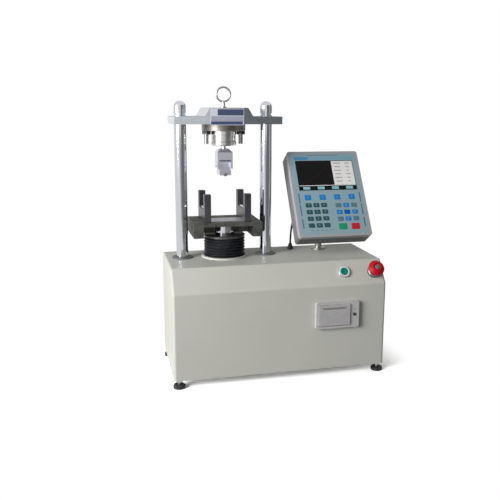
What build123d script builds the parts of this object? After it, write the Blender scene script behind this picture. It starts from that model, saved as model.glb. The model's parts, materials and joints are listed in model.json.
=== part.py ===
from build123d import *
import math
import os

# A bench tester that bends a cement mortar prism until it breaks. A ram rises out of the cabinet,
# lifts a platen with two support rollers, and presses the prism against a load roller that hangs
# from a load cell under the crosshead. X runs along the front, Y to the rear and Z up from the bench.
# Sizes are in millimetres. Setbacks are measured from the front face of the cabinet.

# Cabinet of folded sheet
cabinet_width = 530.0
cabinet_depth = 240.0
foot_height = 20.0
front_height = 210.0
slope_height = 54.0
slope_run = 42.0
sheet = 2.0
edge_radius = 6.0
seam_flange = 18.0
cover_margin = 8.0
cover_sheet = 2.0
bottom_sheet = 2.0
sheet_clearance = 0.5

# Louvres and screws of the rear cover
louvre_length = 60.0
louvre_height = 4.0
louvre_pitch = 11.0
louvre_count = 7
louvre_spacing = 150.0
cover_screw_head = 8.0
cover_screw_proud = 2.4
cover_screw_inset = 5.0
cover_screw_edge = 1.2

# Levelling feet
foot_inset_side = 13.0
foot_inset_end = 11.0
foot_pad_diameter = 29.0
foot_pad_height = 9.0
foot_socket_depth = 4.0
foot_stud_diameter = 8.0
foot_stud_tail = 14.0
foot_nut_flats = 13.0
foot_nut_height = 6.0

# Load frame
load_inset = 151.0
load_setback = 159.0
column_spacing = 215.5
column_diameter = 30.0
column_length = 335.4
spigot_diameter = 20.0
spigot_grip = 20.0
spigot_tail = 2.0
frame_plate_thickness = 16.0
frame_plate_overhang = 145.0
frame_plate_half_depth = 62.0
leg_size = 25.0
leg_wall = 3.0
leg_offset_x = 132.0
leg_offset_y = 48.0
drive_base_thickness = 14.0
drive_base_reach = 262.0
column_nut_flats = 30.0
column_nut_height = 16.0
collar_diameter = 52.0
collar_height = 3.0
dome_nut_diameter = 30.0
dome_nut_height = 37.0
dome_nut_base = 3.0
dome_nut_neck = 4.0
dome_nut_neck_depth = 2.5
spigot_clearance = 0.1

# Crosshead
crosshead_end = 21.75
crosshead_depth = 156.0
crosshead_thickness = 18.2
hump_height = 20.4
hump_half_base = 58.1
hump_half_top = 45.7
crosshead_edge = 1.5
label_width = 80.0
label_height = 38.5
label_thickness = 0.8
label_radius = 2.0
label_offset = -5.0
label_below_top = 2.0
eyebolt_ring = 39.5
eyebolt_wire = 5.0
eyebolt_stem = 8.0
eyebolt_stem_height = 12.5
eyebolt_collar = 15.0
eyebolt_collar_height = 2.5
eyebolt_thread = 14.0

# Load cell and the rocking nose under it
flange_diameter = 108.0
flange_thickness = 17.0
cell_diameter = 62.0
cell_height = 36.4
cell_edge = 2.0
cell_waist = 1.2
cell_outlet_diameter = 10.0
cell_outlet_length = 10.0
cell_outlet_root = 2.0
flange_stud_diameter = 11.0
flange_stud_offset = 43.0
flange_stud_grip = 12.0
flange_stud_length = 49.4
flange_nut_flats = 20.0
flange_nut_height = 9.4
shank_diameter = 11.0
shank_gap = 8.0
shank_grip = 12.0
clevis_width = 38.0
clevis_depth = 40.0
clevis_height = 48.0
clevis_shoulder = 8.0
clevis_roof = 26.8
nose_width = 29.0
nose_play = 0.3
nose_pin_diameter = 8.0
nose_pin_drop = 38.0
nose_pin_head = 12.0
nose_pin_head_length = 2.0
nose_boss_radius = 10.5
nose_half_depth = 14.0
nose_foot_half_depth = 22.0
nose_foot_height = 11.5
nose_length = 26.5
nose_edge = 2.0

# Rollers: the same hardened pins load and support the prism
roller_diameter = 10.0
roller_proud = 2.5
running_clearance = 0.05
roller_end_play = 0.3
roller_chamfer = 0.6

# Ram, platen and prism supports
ram_diameter = 50.0
ram_bottom = 130.0
ram_travel = 45.0
ram_bore = 26.0
ram_bore_gap = 13.0
platen_width = 171.0
platen_depth = 120.0
platen_thickness = 10.0
platen_wall = 24.0
platen_skirt = 27.0
platen_web = 8.0
platen_web_drop = 24.0
platen_web_gap = 1.0
platen_top = 379.0
platen_edge = 1.0
support_span = 100.0
support_thickness = 16.0
support_half_length = 55.0
horn_thickness = 20.0
horn_height = 69.0
support_web = 30.0
support_edge = 1.0
scale_thickness = 2.0
scale_front = 46.0
scale_rear = 7.0
scale_gap = 0.3
fixture_screw_diameter = 6.0
fixture_screw_head = 10.0
fixture_screw_head_height = 6.0
fixture_screw_grip = 12.0
fixture_screw_offset = 30.0
ram_screw_circle_diameter = 36.0
ram_screw_head_height = 6.0

# Bellows round the ram
bellows_diameter = 105.0
bellows_neck = 80.0
bellows_wall = 1.6
bellows_skin = 1.0
bellows_height = 48.0
bellows_folds = 6
bellows_crest_share = 0.1
bellows_root_share = 0.15
bellows_ring_diameter = 117.0
bellows_ring_bore = 66.0
bellows_ring_height = 4.0
bellows_collar_diameter = 104.0
bellows_collar_height = 6.0

# Screw drive under the frame plate
housing_diameter = 84.0
housing_bore = 60.0
housing_length = 110.0
housing_flange_diameter = 124.0
housing_flange = 14.0
housing_screw_circle_diameter = 104.0
housing_screw_diameter = 8.0
bush_length = 30.0
screw_diameter = 20.0
screw_journal = 17.0
screw_over = 20.0
screw_chamfer = 2.0
screw_foot_gap = 1.0
screw_nut_flange = 10.0
screw_nut_inset = 1.0
screw_nut_length = 22.0
bearing_outer = 40.0
bearing_width = 12.0
bearing_spacing = 20.0
bearing_race = 4.0
bearing_inner_race = 3.0
bearing_groove = 1.0
bearing_boss_diameter = 78.0
bearing_boss_height = 40.0
bearing_floor = 4.0
pulley_pitch = 5.0
screw_pulley_teeth = 48
motor_pulley_teeth = 24
pulley_flange = 2.0
pulley_flange_rise = 3.0
pulley_tooth_radius = 1.2
pulley_rise = 2.0
spacer_wall = 2.5
belt_width = 16.0
belt_thickness = 2.0
belt_gap = 0.3
belt_side_gap = 0.5
motor_offset = 204.0
motor_size = 86.0
motor_length = 110.0
motor_corner = 8.0
motor_shaft = 14.0
motor_shaft_grip = 30.0
motor_plate = 8.0
motor_plate_margin = 8.0
motor_pillar = 16.0
motor_boss = 54.0
motor_rise = 6.0
motor_cap_width = 60.0
motor_cap_depth = 11.0
motor_cap_height = 22.0
motor_cap_low = 77.0
driver_setback = 45.0
driver_width = 120.0
driver_depth = 60.0
driver_height = 85.0
driver_fin_pitch = 12.0
driver_fin_depth = 8.0

# Buttons on the slope
start_inset = 105.0
start_up = 35.5
bezel_diameter = 30.0
bezel_height = 5.0
barrel_diameter = 22.0
barrel_length = 16.0
start_cap_diameter = 19.4
start_cap_height = 7.5
start_cap_gap = 0.5
start_cap_edge = 1.2
start_stem_diameter = 14.0
start_travel = 3.5
stop_inset = 27.0
stop_up = 32.0
stop_collar_diameter = 33.0
stop_collar_height = 9.0
stop_head_diameter = 40.0
stop_head_height = 15.0
stop_head_rise = 18.0
stop_head_edge = 6.0
stop_head_under = 2.0
stop_head_flare = 3.0
stop_stem_diameter = 16.0
stop_travel = 5.0
stem_reach = 4.0
contact_block = 30.0
contact_block_length = 34.0
lock_ring_diameter = 30.0
lock_ring_height = 5.0

# Panel printer
printer_inset = 128.8
printer_z = 158.5
printer_width = 110.0
printer_height = 66.0
printer_proud = 12.0
printer_rim = 9.0
printer_rim_radius = 3.0
printer_depth = 62.0
printer_wall = 2.5
door_width = 80.0
door_height = 54.0
door_offset = -9.0
door_thickness = 7.0
door_gap = 0.5
door_pin_diameter = 3.0
door_pin_length = 4.0
door_pin_gap = 0.5
door_edge = 1.5
door_foot_flat = 0.1
paper_slot_width = 60.0
paper_slot_height = 2.5
paper_slot_from_top = 7.0
paper_roll_diameter = 30.0
paper_roll_core = 12.0
paper_roll_length = 57.0
paper_roll_setback = 36.0
roll_side_gap = 1.0
feed_key_diameter = 8.0
feed_key_proud = 1.5
feed_key_length = 6.0
feed_key_travel = 1.0
feed_key_edge = 0.6

# Control unit on its post
post_inset = 117.0
post_setback = 188.0
hinge_z = 405.0
post_diameter = 18.0
post_flange_diameter = 38.0
post_flange_height = 4.0
post_tail = 14.0
post_tail_diameter = 14.0
post_nut_flats = 22.0
post_nut_height = 8.0
unit_tilt = 32.5
unit_offset = 7.0
unit_width = 194.0
unit_height = 242.0
unit_depth = 50.0
unit_front_depth = 12.0
unit_radius = 7.0
unit_wall = 2.5
unit_front_edge = 1.5
unit_rear_edge = 4.0
hinge_behind = 20.0
trunnion_diameter = 12.0
knuckle_diameter = 22.0
knuckle_width = 26.0
lug_thickness = 6.0
lug_width = 24.0
lug_gap = 0.3
knob_diameter = 30.0
knob_length = 16.0
knob_lobes = 6
knob_dip_radius = 5.0
knob_chamfer = 1.5
knob_stud = 9.0
knob_face = 3.0
knob_notch_depth = 3.3
pin_overhang = 4.0
keypad_margin = 7.0
keypad_thickness = 0.8
key_rise = 0.6
screen_side = 21.5
screen_width = unit_width - 2 * screen_side
screen_height = 70.0
screen_x = -1.5
screen_y = 56.0
screen_lap = 3.0
board_margin = 5.0
board_thickness = 1.6
screen_module_depth = 8.0
key_columns = (-60.5, -40.0, -19.5)
key_rows = (-34.0, -52.5, -71.0, -89.5)
number_key = (16.0, 12.0)
function_columns = (-59.5, -20.2, 19.2, 58.7)
function_row = -12.5
function_key = (17.0, 15.0)
arrow_columns = (18.5, 39.5, 60.5)
arrow_rows = (-36.0, -55.0, -73.5)
arrow_key = (16.0, 12.0)
start_key = (21.5, -94.5)
stop_key = (55.5, -95.0)
large_key = (22.0, 17.0)
key_radius = 2.0

# Lead from the cabinet to the control unit
gland_offset = 75.0
gland_setback = 200.0
gland_flats = 15.0
gland_base = 6.0
gland_height = 16.0
gland_top_diameter = 8.0
gland_thread = 12.0
gland_tail = 8.0
gland_thread_end = 2.0
gland_cone_step = 1.0
cable_diameter = 5.0
cable_grip = 8.0
cable_low_bend = 30.0
cable_high_bend = 62.0
cable_drop = 15.0
cable_run = 24.0

# Mains inlet with its switch
inlet_inset = 75.0
inlet_z = 80.0
inlet_width = 32.0
inlet_height = 62.0
inlet_flange = 3.0
inlet_radius = 3.0
inlet_body_margin = 3.0
inlet_body_depth = 26.0
socket_width = 24.0
socket_height = 17.0
socket_depth = 18.0
socket_drop = 13.0
pin_size = 2.0
pin_height = 4.0
pin_length = 12.0
pin_spacing = 7.0
rocker_rise = 16.0
rocker_width = 14.0
rocker_half = 10.0
rocker_face = 4.0
rocker_back = 3.0
rocker_tilt = 12.0
rocker_sunk = 1.0
rocker_gap = 0.4
rocker_pin = 2.0
rocker_dish = 1.6

# Heights and places that follow from the sizes above
load_x = load_inset - cabinet_width / 2
start_x = cabinet_width / 2 - start_inset
stop_x = cabinet_width / 2 - stop_inset
printer_x = cabinet_width / 2 - printer_inset
post_x = cabinet_width / 2 - post_inset
gland_x = post_x - gland_offset
inlet_x = inlet_inset - cabinet_width / 2
crosshead_half_length = column_spacing / 2 + crosshead_end
top_z = foot_height + front_height + slope_height
break_z = foot_height + front_height
lean = math.radians(unit_tilt)
slope_lean = math.atan2(slope_run, slope_height)
rocker_turn = math.radians(rocker_tilt)
rocker_reach = rocker_face * math.cos(rocker_turn) + rocker_half * math.sin(rocker_turn) - rocker_sunk
rear_reach = cover_sheet + inlet_flange + rocker_reach
front_y = -(cabinet_depth + rear_reach - printer_proud) / 2
rear_y = front_y + cabinet_depth
load_y = front_y + load_setback
inside_floor = foot_height + sheet + bottom_sheet
drive_floor = inside_floor + drive_base_thickness
plate_top = top_z - sheet
plate_bottom = plate_top - frame_plate_thickness
column_xs = (load_x - column_spacing / 2, load_x + column_spacing / 2)
bar_bottom = plate_top + column_length
bar_top = bar_bottom + crosshead_thickness
hump_top = bar_top + hump_height
flange_bottom = bar_bottom - flange_thickness
cell_bottom = flange_bottom - cell_height
clevis_top = cell_bottom - shank_gap
nose_pin_z = clevis_top - nose_pin_drop
load_roller_z = nose_pin_z - nose_length + roller_proud
platen_underside = platen_top - platen_thickness
ram_top = platen_underside
screw_top = ram_bottom + ram_travel + screw_nut_length + screw_over
support_roller_z = platen_top + support_web
ring_top = top_z + bellows_ring_height
bellows_top = ring_top + bellows_height
housing_bottom = plate_top - housing_length
bearing_top = drive_floor + bearing_boss_height
belt_low = bearing_top + pulley_rise + pulley_flange + belt_side_gap
screw_shoulder = belt_low + belt_width + belt_side_gap + pulley_flange
motor_x = load_x + motor_offset
motor_floor = screw_shoulder + motor_rise
roller_length = 2 * (support_half_length - horn_thickness) - 2 * roller_end_play
cell_radius = cell_diameter / 2
BASE = (Align.CENTER, Align.CENTER, Align.MIN)


def block(x, y, z):
    """Block between three pairs of limits."""
    body = Box(x[1] - x[0], y[1] - y[0], z[1] - z[0])
    return Pos((x[0] + x[1]) / 2, (y[0] + y[1]) / 2, (z[0] + z[1]) / 2) * body


def upright(x, y, z, diameter):
    """Round bar standing between two heights."""
    return Pos(x, y, z[0]) * Cylinder(diameter / 2, z[1] - z[0], align=BASE)


def along_x(x, y, z, diameter):
    """Round bar lying between two limits along X."""
    return Pos(x[0], y, z) * Rot(0, 90, 0) * Cylinder(diameter / 2, x[1] - x[0], align=BASE)


def along_y(x, y, z, diameter):
    """Round bar lying between two limits along Y."""
    return Pos(x, y[0], z) * Rot(-90, 0, 0) * Cylinder(diameter / 2, y[1] - y[0], align=BASE)


def washer(x, y, z, outer, inner):
    """Upright ring between two heights."""
    return upright(x, y, z, outer) - upright(x, y, z, inner)


def hex_bar(x, y, z, flats, hole=0.0):
    """Upright hexagonal nut with chamfered corners, and a hole if one is given."""
    height = z[1] - z[0]
    prism = extrude(RegularPolygon(flats / 2, 6, major_radius=False, rotation=30), height)
    corner = flats / math.sqrt(3)
    trim = Cylinder(corner, height, align=BASE)
    ends = trim.edges().filter_by(GeomType.CIRCLE)
    nut = prism & chamfer(ends, corner - flats / 2)
    if hole > 0:
        nut = nut - Cylinder(hole / 2, height, align=BASE)
    return Pos(x, y, z[0]) * nut


def group(pieces):
    """Several separate pieces kept as one node."""
    solids = []
    for piece in pieces:
        solids.extend(piece.solids())
    return Compound(children=solids)


def tilted(x, y, z, angle):
    """Place whose Z leans back from facing the front, with its Y up the face."""
    normal = (0, -math.cos(angle), math.sin(angle))
    return Plane(origin=(x, y, z), x_dir=(1, 0, 0), z_dir=normal).location


def on_slope(x, up):
    """Place on the sloping panel, with its Z pointing out of the panel."""
    y = front_y + up * math.sin(slope_lean)
    z = break_z + up * math.cos(slope_lean)
    return tilted(x, y, z, slope_lean)


def on_unit():
    """Place at the centre of the control unit's face."""
    reach = unit_depth + hinge_behind
    y = front_y + post_setback - reach * math.cos(lean)
    z = hinge_z + reach * math.sin(lean)
    return tilted(post_x + unit_offset, y, z, lean)


def feet_places():
    """Centres of the four feet."""
    x = cabinet_width / 2 - foot_inset_side
    near = front_y + foot_inset_end
    far = rear_y - foot_inset_end
    return [(sx * x, y) for y in (near, far) for sx in (-1, 1)]


def cabinet_form(inset):
    """Cabinet's outer form, or its hollow when an inset is given."""
    points = [
        (front_y, foot_height),
        (front_y, break_z),
        (front_y + slope_run, top_z),
        (rear_y, top_z),
        (rear_y, foot_height),
    ]
    outline = make_face(Plane.YZ * Polyline(points, close=True))
    if inset > 0:
        outline = offset(outline, amount=-inset, kind=Kind.INTERSECTION)
    half = cabinet_width / 2 - inset
    form = extrude(outline, half, both=True)
    bottom = form.edges().filter_by(lambda e: e.bounding_box().max.Z < foot_height + sheet + 0.1)
    return fillet(form.edges() - bottom, edge_radius - inset)


def cabinet_shell():
    """Folded case, open at the rear and underneath inside its seam flanges."""
    shell = cabinet_form(0) - cabinet_form(sheet)
    half = cabinet_width / 2 - sheet - seam_flange
    rear_low = foot_height + sheet + seam_flange
    rear_high = top_z - sheet - seam_flange
    shell -= block((-half, half), (rear_y - 2 * sheet, rear_y + sheet), (rear_low, rear_high))
    near = front_y + sheet + seam_flange
    far = rear_y - sheet - seam_flange
    shell -= block((-half, half), (near, far), (foot_height - sheet, foot_height + 2 * sheet))
    for x, y in feet_places():
        hole = foot_stud_diameter + 2 * sheet_clearance
        shell -= upright(x, y, (foot_height - sheet, foot_height + 2 * sheet), hole)
    above = (top_z - 2 * sheet, top_z + sheet)
    for x in column_xs:
        shell -= upright(x, load_y, above, column_diameter + 2 * sheet_clearance)
    shell -= upright(load_x, load_y, above, bellows_ring_bore)
    post_y = front_y + post_setback
    shell -= upright(post_x, post_y, above, post_tail_diameter + 2 * sheet_clearance)
    gland_y = front_y + gland_setback
    shell -= upright(gland_x, gland_y, above, gland_thread + 2 * sheet_clearance)
    for x, up in ((start_x, start_up), (stop_x, stop_up)):
        hole = Cylinder(barrel_diameter / 2 + sheet_clearance / 2, 4 * sheet)
        shell -= on_slope(x, up) * hole
    width = printer_width - 2 * printer_wall - 2 * sheet_clearance
    height = printer_height - 2 * printer_wall - 2 * sheet_clearance
    cut = Box(width + 2 * sheet_clearance, 4 * sheet, height + 2 * sheet_clearance)
    return shell - Pos(printer_x, front_y, printer_z) * cut


def cover_screw_places():
    """Centres of the rear cover's screws, as X and Z."""
    x = cabinet_width / 2 - cover_margin - cover_screw_inset
    low = foot_height + cover_margin + cover_screw_inset
    high = top_z - cover_margin - cover_screw_inset
    rows = [(sx * x, z) for z in (low, (low + high) / 2, high) for sx in (-1, 1)]
    return rows + [(sx * x / 3, z) for z in (low, high) for sx in (-1, 1)]


def rear_cover():
    """Flat cover over the rear opening, with louvres and the inlet's cut-out."""
    half = cabinet_width / 2 - cover_margin
    depth = (rear_y, rear_y + cover_sheet)
    cover = block((-half, half), depth, (foot_height + cover_margin, top_z - cover_margin))
    middle = (foot_height + top_z) / 2
    for side in (-1, 1):
        for row in range(louvre_count):
            z = middle + (row - (louvre_count - 1) / 2) * louvre_pitch
            slot = Box(louvre_length, 4 * cover_sheet, louvre_height)
            cover -= Pos(side * louvre_spacing / 2, rear_y, z) * slot
    width = inlet_width - 2 * inlet_body_margin + sheet_clearance
    height = inlet_height - 2 * inlet_body_margin + sheet_clearance
    return cover - Pos(inlet_x, rear_y, inlet_z) * Box(width, 4 * cover_sheet, height)


def bottom_plate():
    """Sheet floor that lies on the bottom seam flange."""
    half = cabinet_width / 2 - sheet - sheet_clearance
    near = front_y + sheet + sheet_clearance
    far = rear_y - sheet - sheet_clearance
    plate = block((-half, half), (near, far), (foot_height + sheet, inside_floor))
    plate = fillet(plate.edges().filter_by(Axis.Z), edge_radius)
    for x, y in feet_places():
        hole = foot_stud_diameter + 2 * sheet_clearance
        plate -= upright(x, y, (foot_height, inside_floor + sheet), hole)
    return plate


def foot_pads():
    """Four round pads, each with a blind hole for its stud."""
    pads = []
    for x, y in feet_places():
        pad = upright(x, y, (0, foot_pad_height), foot_pad_diameter)
        pad = chamfer(pad.edges().sort_by(Axis.Z)[-1], foot_pad_height / 4)
        socket = (foot_pad_height - foot_socket_depth, foot_pad_height)
        pads.append(pad - upright(x, y, socket, foot_stud_diameter))
    return group(pads)


def frame_fasteners():
    """Studs and nuts of the feet, the columns and the load cell's flange."""
    pieces = []
    stud = (foot_pad_height - foot_socket_depth, inside_floor + foot_stud_tail)
    lower = (foot_height - foot_nut_height, foot_height)
    upper = (inside_floor, inside_floor + foot_nut_height)
    for x, y in feet_places():
        pieces.append(upright(x, y, stud, foot_stud_diameter))
        for z in (lower, upper):
            pieces.append(hex_bar(x, y, z, foot_nut_flats, foot_stud_diameter))
    for x in column_xs:
        z = (plate_bottom - column_nut_height, plate_bottom)
        pieces.append(hex_bar(x, load_y, z, column_nut_flats, spigot_diameter))
    for side in (-1, 1):
        x = load_x + side * flange_stud_offset
        high = bar_bottom + flange_stud_grip
        low = bar_bottom - flange_stud_length
        pieces.append(upright(x, load_y, (low, high), flange_stud_diameter))
        z = (flange_bottom - flange_nut_height, flange_bottom)
        pieces.append(hex_bar(x, load_y, z, flange_nut_flats, flange_stud_diameter))
    return group(pieces)


def sub_frame():
    """Thick plate under the cabinet's top, welded to four square legs."""
    x = (load_x - frame_plate_overhang, load_x + frame_plate_overhang)
    y = (load_y - frame_plate_half_depth, load_y + frame_plate_half_depth)
    frame = block(x, y, (plate_bottom, plate_top))
    for cx in column_xs:
        hole = spigot_diameter + 2 * spigot_clearance
        frame -= upright(cx, load_y, (plate_bottom, plate_top), hole)
    hole = housing_diameter + 2 * spigot_clearance
    frame -= upright(load_x, load_y, (plate_bottom, plate_top), hole)
    for place in PolarLocations(housing_screw_circle_diameter / 2, 6):
        hole = Cylinder(housing_screw_diameter / 2, frame_plate_thickness, align=BASE)
        frame -= Pos(load_x, load_y, plate_bottom) * place * hole
    for side in (-1, 1):
        for end in (-1, 1):
            leg_x = load_x + side * leg_offset_x
            leg_y = load_y + end * leg_offset_y
            height = plate_bottom - drive_floor
            leg = Box(leg_size, leg_size, height, align=BASE)
            inner = leg_size - 2 * leg_wall
            leg -= Box(inner, inner, height, align=BASE)
            frame += Pos(leg_x, leg_y, drive_floor) * leg
    return frame


def drive_base():
    """Slab on the cabinet's floor, with the boss that holds the screw's bearings."""
    x = (load_x - frame_plate_overhang, load_x + drive_base_reach)
    reach = leg_offset_y + leg_size / 2
    base = block(x, (load_y - reach, load_y + reach), (inside_floor, drive_floor))
    base += upright(load_x, load_y, (drive_floor, bearing_top), bearing_boss_diameter)
    pocket = (drive_floor + bearing_floor, bearing_top)
    return base - upright(load_x, load_y, pocket, bearing_outer)


def columns():
    """Two plated columns with a spigot at each end."""
    pieces = []
    for x in column_xs:
        shaft = upright(x, load_y, (plate_top, bar_bottom), column_diameter)
        low = plate_bottom - column_nut_height - spigot_tail
        shaft += upright(x, load_y, (low, plate_top), spigot_diameter)
        high = bar_top + spigot_grip
        shaft += upright(x, load_y, (bar_bottom, high), spigot_diameter)
        pieces.append(shaft)
    return group(pieces)


def column_collars():
    """Thin rings round the columns where they leave the cabinet."""
    pieces = []
    for x in column_xs:
        z = (top_z, top_z + collar_height)
        ring = washer(x, load_y, z, collar_diameter, column_diameter + spigot_clearance)
        rims = ring.edges().filter_by(GeomType.CIRCLE).group_by(Axis.Z)[-1]
        pieces.append(chamfer(rims.sort_by(SortBy.RADIUS)[-1], collar_height / 3))
    return group(pieces)


def dome_nuts():
    """Domed nuts over the crosshead, each with a waist above its base."""
    radius = dome_nut_diameter / 2
    waist = radius - dome_nut_neck_depth
    shoulder = dome_nut_base + dome_nut_neck
    straight = dome_nut_height - radius
    profile = Polyline(
        (0, 0), (radius, 0), (radius, dome_nut_base), (waist, dome_nut_base),
        (waist, shoulder), (radius, shoulder), (radius, straight),
    )
    dome = RadiusArc((radius, straight), (0, dome_nut_height), -radius)
    face = make_face(Plane.XZ * (profile + dome + Line((0, dome_nut_height), (0, 0))))
    nut = revolve(face, Axis.Z)
    hole = spigot_diameter + 2 * spigot_clearance
    nut -= Cylinder(hole / 2, spigot_grip, align=BASE)
    return group(Pos(x, load_y, bar_top) * nut for x in column_xs)


def crosshead():
    """Flat bar with a raised middle over the load cell."""
    points = [
        (-crosshead_half_length, 0), (crosshead_half_length, 0),
        (crosshead_half_length, crosshead_thickness), (hump_half_base, crosshead_thickness),
        (hump_half_top, crosshead_thickness + hump_height),
        (-hump_half_top, crosshead_thickness + hump_height),
        (-hump_half_base, crosshead_thickness), (-crosshead_half_length, crosshead_thickness),
    ]
    outline = make_face(Plane.XZ * Polyline(points, close=True))
    bar = extrude(outline, crosshead_depth / 2, both=True)
    bar = chamfer(bar.edges().filter_by(Axis.Y), crosshead_edge / 2)
    bar = Pos(load_x, load_y, bar_bottom) * bar
    for x in column_xs:
        hole = spigot_diameter + 2 * spigot_clearance
        bar -= upright(x, load_y, (bar_bottom, bar_top), hole)
    for side in (-1, 1):
        x = load_x + side * flange_stud_offset
        z = (bar_bottom, bar_bottom + flange_stud_grip)
        bar -= upright(x, load_y, z, flange_stud_diameter)
    return bar - upright(load_x, load_y, (hump_top - eyebolt_thread, hump_top), eyebolt_stem)


def crosshead_label():
    """Thin plate on the front of the crosshead."""
    x = load_x + label_offset
    front = load_y - crosshead_depth / 2
    high = hump_top - label_below_top
    half = label_width / 2
    depth = (front - label_thickness, front)
    plate = block((x - half, x + half), depth, (high - label_height, high))
    return fillet(plate.edges().filter_by(Axis.Y), label_radius)


def eyebolt():
    """Lifting eye screwed into the top of the crosshead."""
    collar = upright(load_x, load_y, (hump_top, hump_top + eyebolt_collar_height), eyebolt_collar)
    stem_top = hump_top + eyebolt_stem_height + eyebolt_wire / 2
    stem = upright(load_x, load_y, (hump_top - eyebolt_thread, stem_top), eyebolt_stem)
    middle = hump_top + eyebolt_stem_height + eyebolt_ring / 2
    ring = Torus(eyebolt_ring / 2 - eyebolt_wire / 2, eyebolt_wire / 2)
    inside = Cylinder(eyebolt_ring / 2 - eyebolt_wire, eyebolt_stem)
    ring_place = Pos(load_x, load_y, middle) * Rot(90, 0, 0)
    return (stem - ring_place * inside) + collar + ring_place * ring


def load_cell_flange():
    """Round flange under the crosshead, bored for its two studs."""
    flange = upright(load_x, load_y, (flange_bottom, bar_bottom), flange_diameter)
    flange = fillet(flange.edges().filter_by(GeomType.CIRCLE), crosshead_edge)
    for side in (-1, 1):
        x = load_x + side * flange_stud_offset
        hole = flange_stud_diameter + 2 * spigot_clearance
        flange -= upright(x, load_y, (flange_bottom, bar_bottom), hole)
    return flange


def load_cell_body():
    """Polished measuring body with a shallow waist, its lead's outlet at the rear."""
    lip = cell_height / 4
    waist = cell_radius - cell_waist
    points = [
        (0, 0), (cell_radius - cell_edge, 0), (cell_radius, cell_edge), (cell_radius, lip),
        (waist, lip + cell_waist), (waist, cell_height - lip - cell_waist),
        (cell_radius, cell_height - lip), (cell_radius, cell_height), (0, cell_height),
    ]
    body = revolve(make_face(Plane.XZ * Polyline(points, close=True)), Axis.Z)
    outlet_y = (waist - cell_outlet_root, cell_radius + cell_outlet_length)
    body += along_y(0, outlet_y, cell_height / 2, cell_outlet_diameter)
    body -= Cylinder(shank_diameter / 2, shank_grip, align=BASE)
    return Pos(load_x, load_y, cell_bottom) * body


def load_clevis():
    """Clevis with a threaded shank, its cheeks left and right of the nose."""
    low = clevis_top - clevis_height
    half_x = clevis_width / 2
    half_y = clevis_depth / 2
    fork = block((-half_x, half_x), (-half_y, half_y), (low, clevis_top))
    top_edges = fork.edges().group_by(Axis.Z)[-1]
    fork = chamfer(top_edges, clevis_shoulder)
    slot = nose_width / 2 + nose_play
    fork -= block((-slot, slot), (-half_y, half_y), (low, clevis_top - clevis_roof))
    fork += upright(0, 0, (clevis_top, cell_bottom + shank_grip), shank_diameter)
    fork -= along_x((-half_x, half_x), 0, nose_pin_z, nose_pin_diameter)
    return Pos(load_x, load_y, 0) * fork


def clevis_pin():
    """Headed pin that the nose rocks on."""
    half = clevis_width / 2
    pin = along_x((-half - nose_pin_head_length, half), 0, nose_pin_z, nose_pin_diameter)
    for x in ((-half - nose_pin_head_length, -half), (half, half + nose_pin_head_length)):
        pin += along_x(x, 0, nose_pin_z, nose_pin_head)
    return Pos(load_x, load_y, 0) * pin


def load_nose():
    """Rocking block that holds the load roller in a groove deeper than half its width."""
    half = nose_width / 2
    low = nose_pin_z - nose_length
    nose = along_x((-half, half), 0, nose_pin_z, 2 * nose_boss_radius)
    nose += block((-half, half), (-nose_boss_radius, nose_boss_radius), (low, nose_pin_z))
    waist = nose_pin_z - nose_boss_radius / 2
    nose += block((-half, half), (-nose_half_depth, nose_half_depth), (low, waist))
    foot_y = (-nose_foot_half_depth, nose_foot_half_depth)
    nose += block((-half, half), foot_y, (low, low + nose_foot_height))
    ends = nose.edges().filter_by(Axis.Y).group_by(Axis.Z)[0]
    nose = chamfer(ends, nose_edge)
    nose -= along_x((-half, half), 0, nose_pin_z, nose_pin_diameter + 2 * running_clearance)
    nose -= along_y(0, foot_y, load_roller_z, roller_diameter + 2 * running_clearance)
    return Pos(load_x, load_y, 0) * nose


def load_roller():
    """Hardened roller that presses on the prism."""
    ends = (load_y - nose_foot_half_depth, load_y + nose_foot_half_depth)
    roller = along_y(load_x, ends, load_roller_z, roller_diameter)
    return chamfer(roller.edges().filter_by(GeomType.CIRCLE), roller_chamfer)


def bellows_ring():
    """Ring that closes the cabinet's top round the bellows."""
    z = (top_z, ring_top)
    ring = washer(load_x, load_y, z, bellows_ring_diameter, bellows_ring_bore)
    rims = ring.edges().filter_by(GeomType.CIRCLE).group_by(Axis.Z)[-1]
    return chamfer(rims.sort_by(SortBy.RADIUS)[-1], bellows_ring_height / 4)


def bellows():
    """Rubber bellows, folds with flat crests and roots and a cuff at each end."""
    outer = bellows_diameter / 2
    neck = bellows_neck / 2
    root_radius = neck + bellows_wall
    pitch = (bellows_height - 2 * bellows_wall) / bellows_folds
    half_crest = bellows_crest_share * pitch / 2
    root = bellows_root_share * pitch
    slope = (pitch / 2 - half_crest - root) / (outer - root_radius)
    foot = root + bellows_skin - slope * bellows_wall
    hollow = neck + (pitch / 2 - foot) / slope
    inside = [(neck, 0)]
    outside = [(outer, 0), (outer, bellows_wall)]
    for fold in range(bellows_folds):
        z = bellows_wall + fold * pitch
        crest = z + pitch / 2
        inside.append((neck, z + foot))
        inside.append((hollow, crest))
        inside.append((neck, z + pitch - foot))
        outside.append((root_radius, z + root))
        outside.append((outer, crest - half_crest))
        outside.append((outer, crest + half_crest))
        outside.append((root_radius, z + pitch - root))
    outside.append((root_radius, bellows_height))
    inside.append((neck, bellows_height))
    face = make_face(Plane.XZ * Polyline(outside + list(reversed(inside)), close=True))
    return Pos(load_x, load_y, ring_top) * revolve(face, Axis.Z)


def bellows_collar():
    """Clamp ring that ties the top of the bellows to the ram."""
    z = (bellows_top, bellows_top + bellows_collar_height)
    collar = washer(load_x, load_y, z, bellows_collar_diameter, ram_diameter)
    rims = collar.edges().filter_by(GeomType.CIRCLE).group_by(Axis.Z)[-1]
    return chamfer(rims.sort_by(SortBy.RADIUS)[-1], bellows_collar_height / 4)


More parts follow.
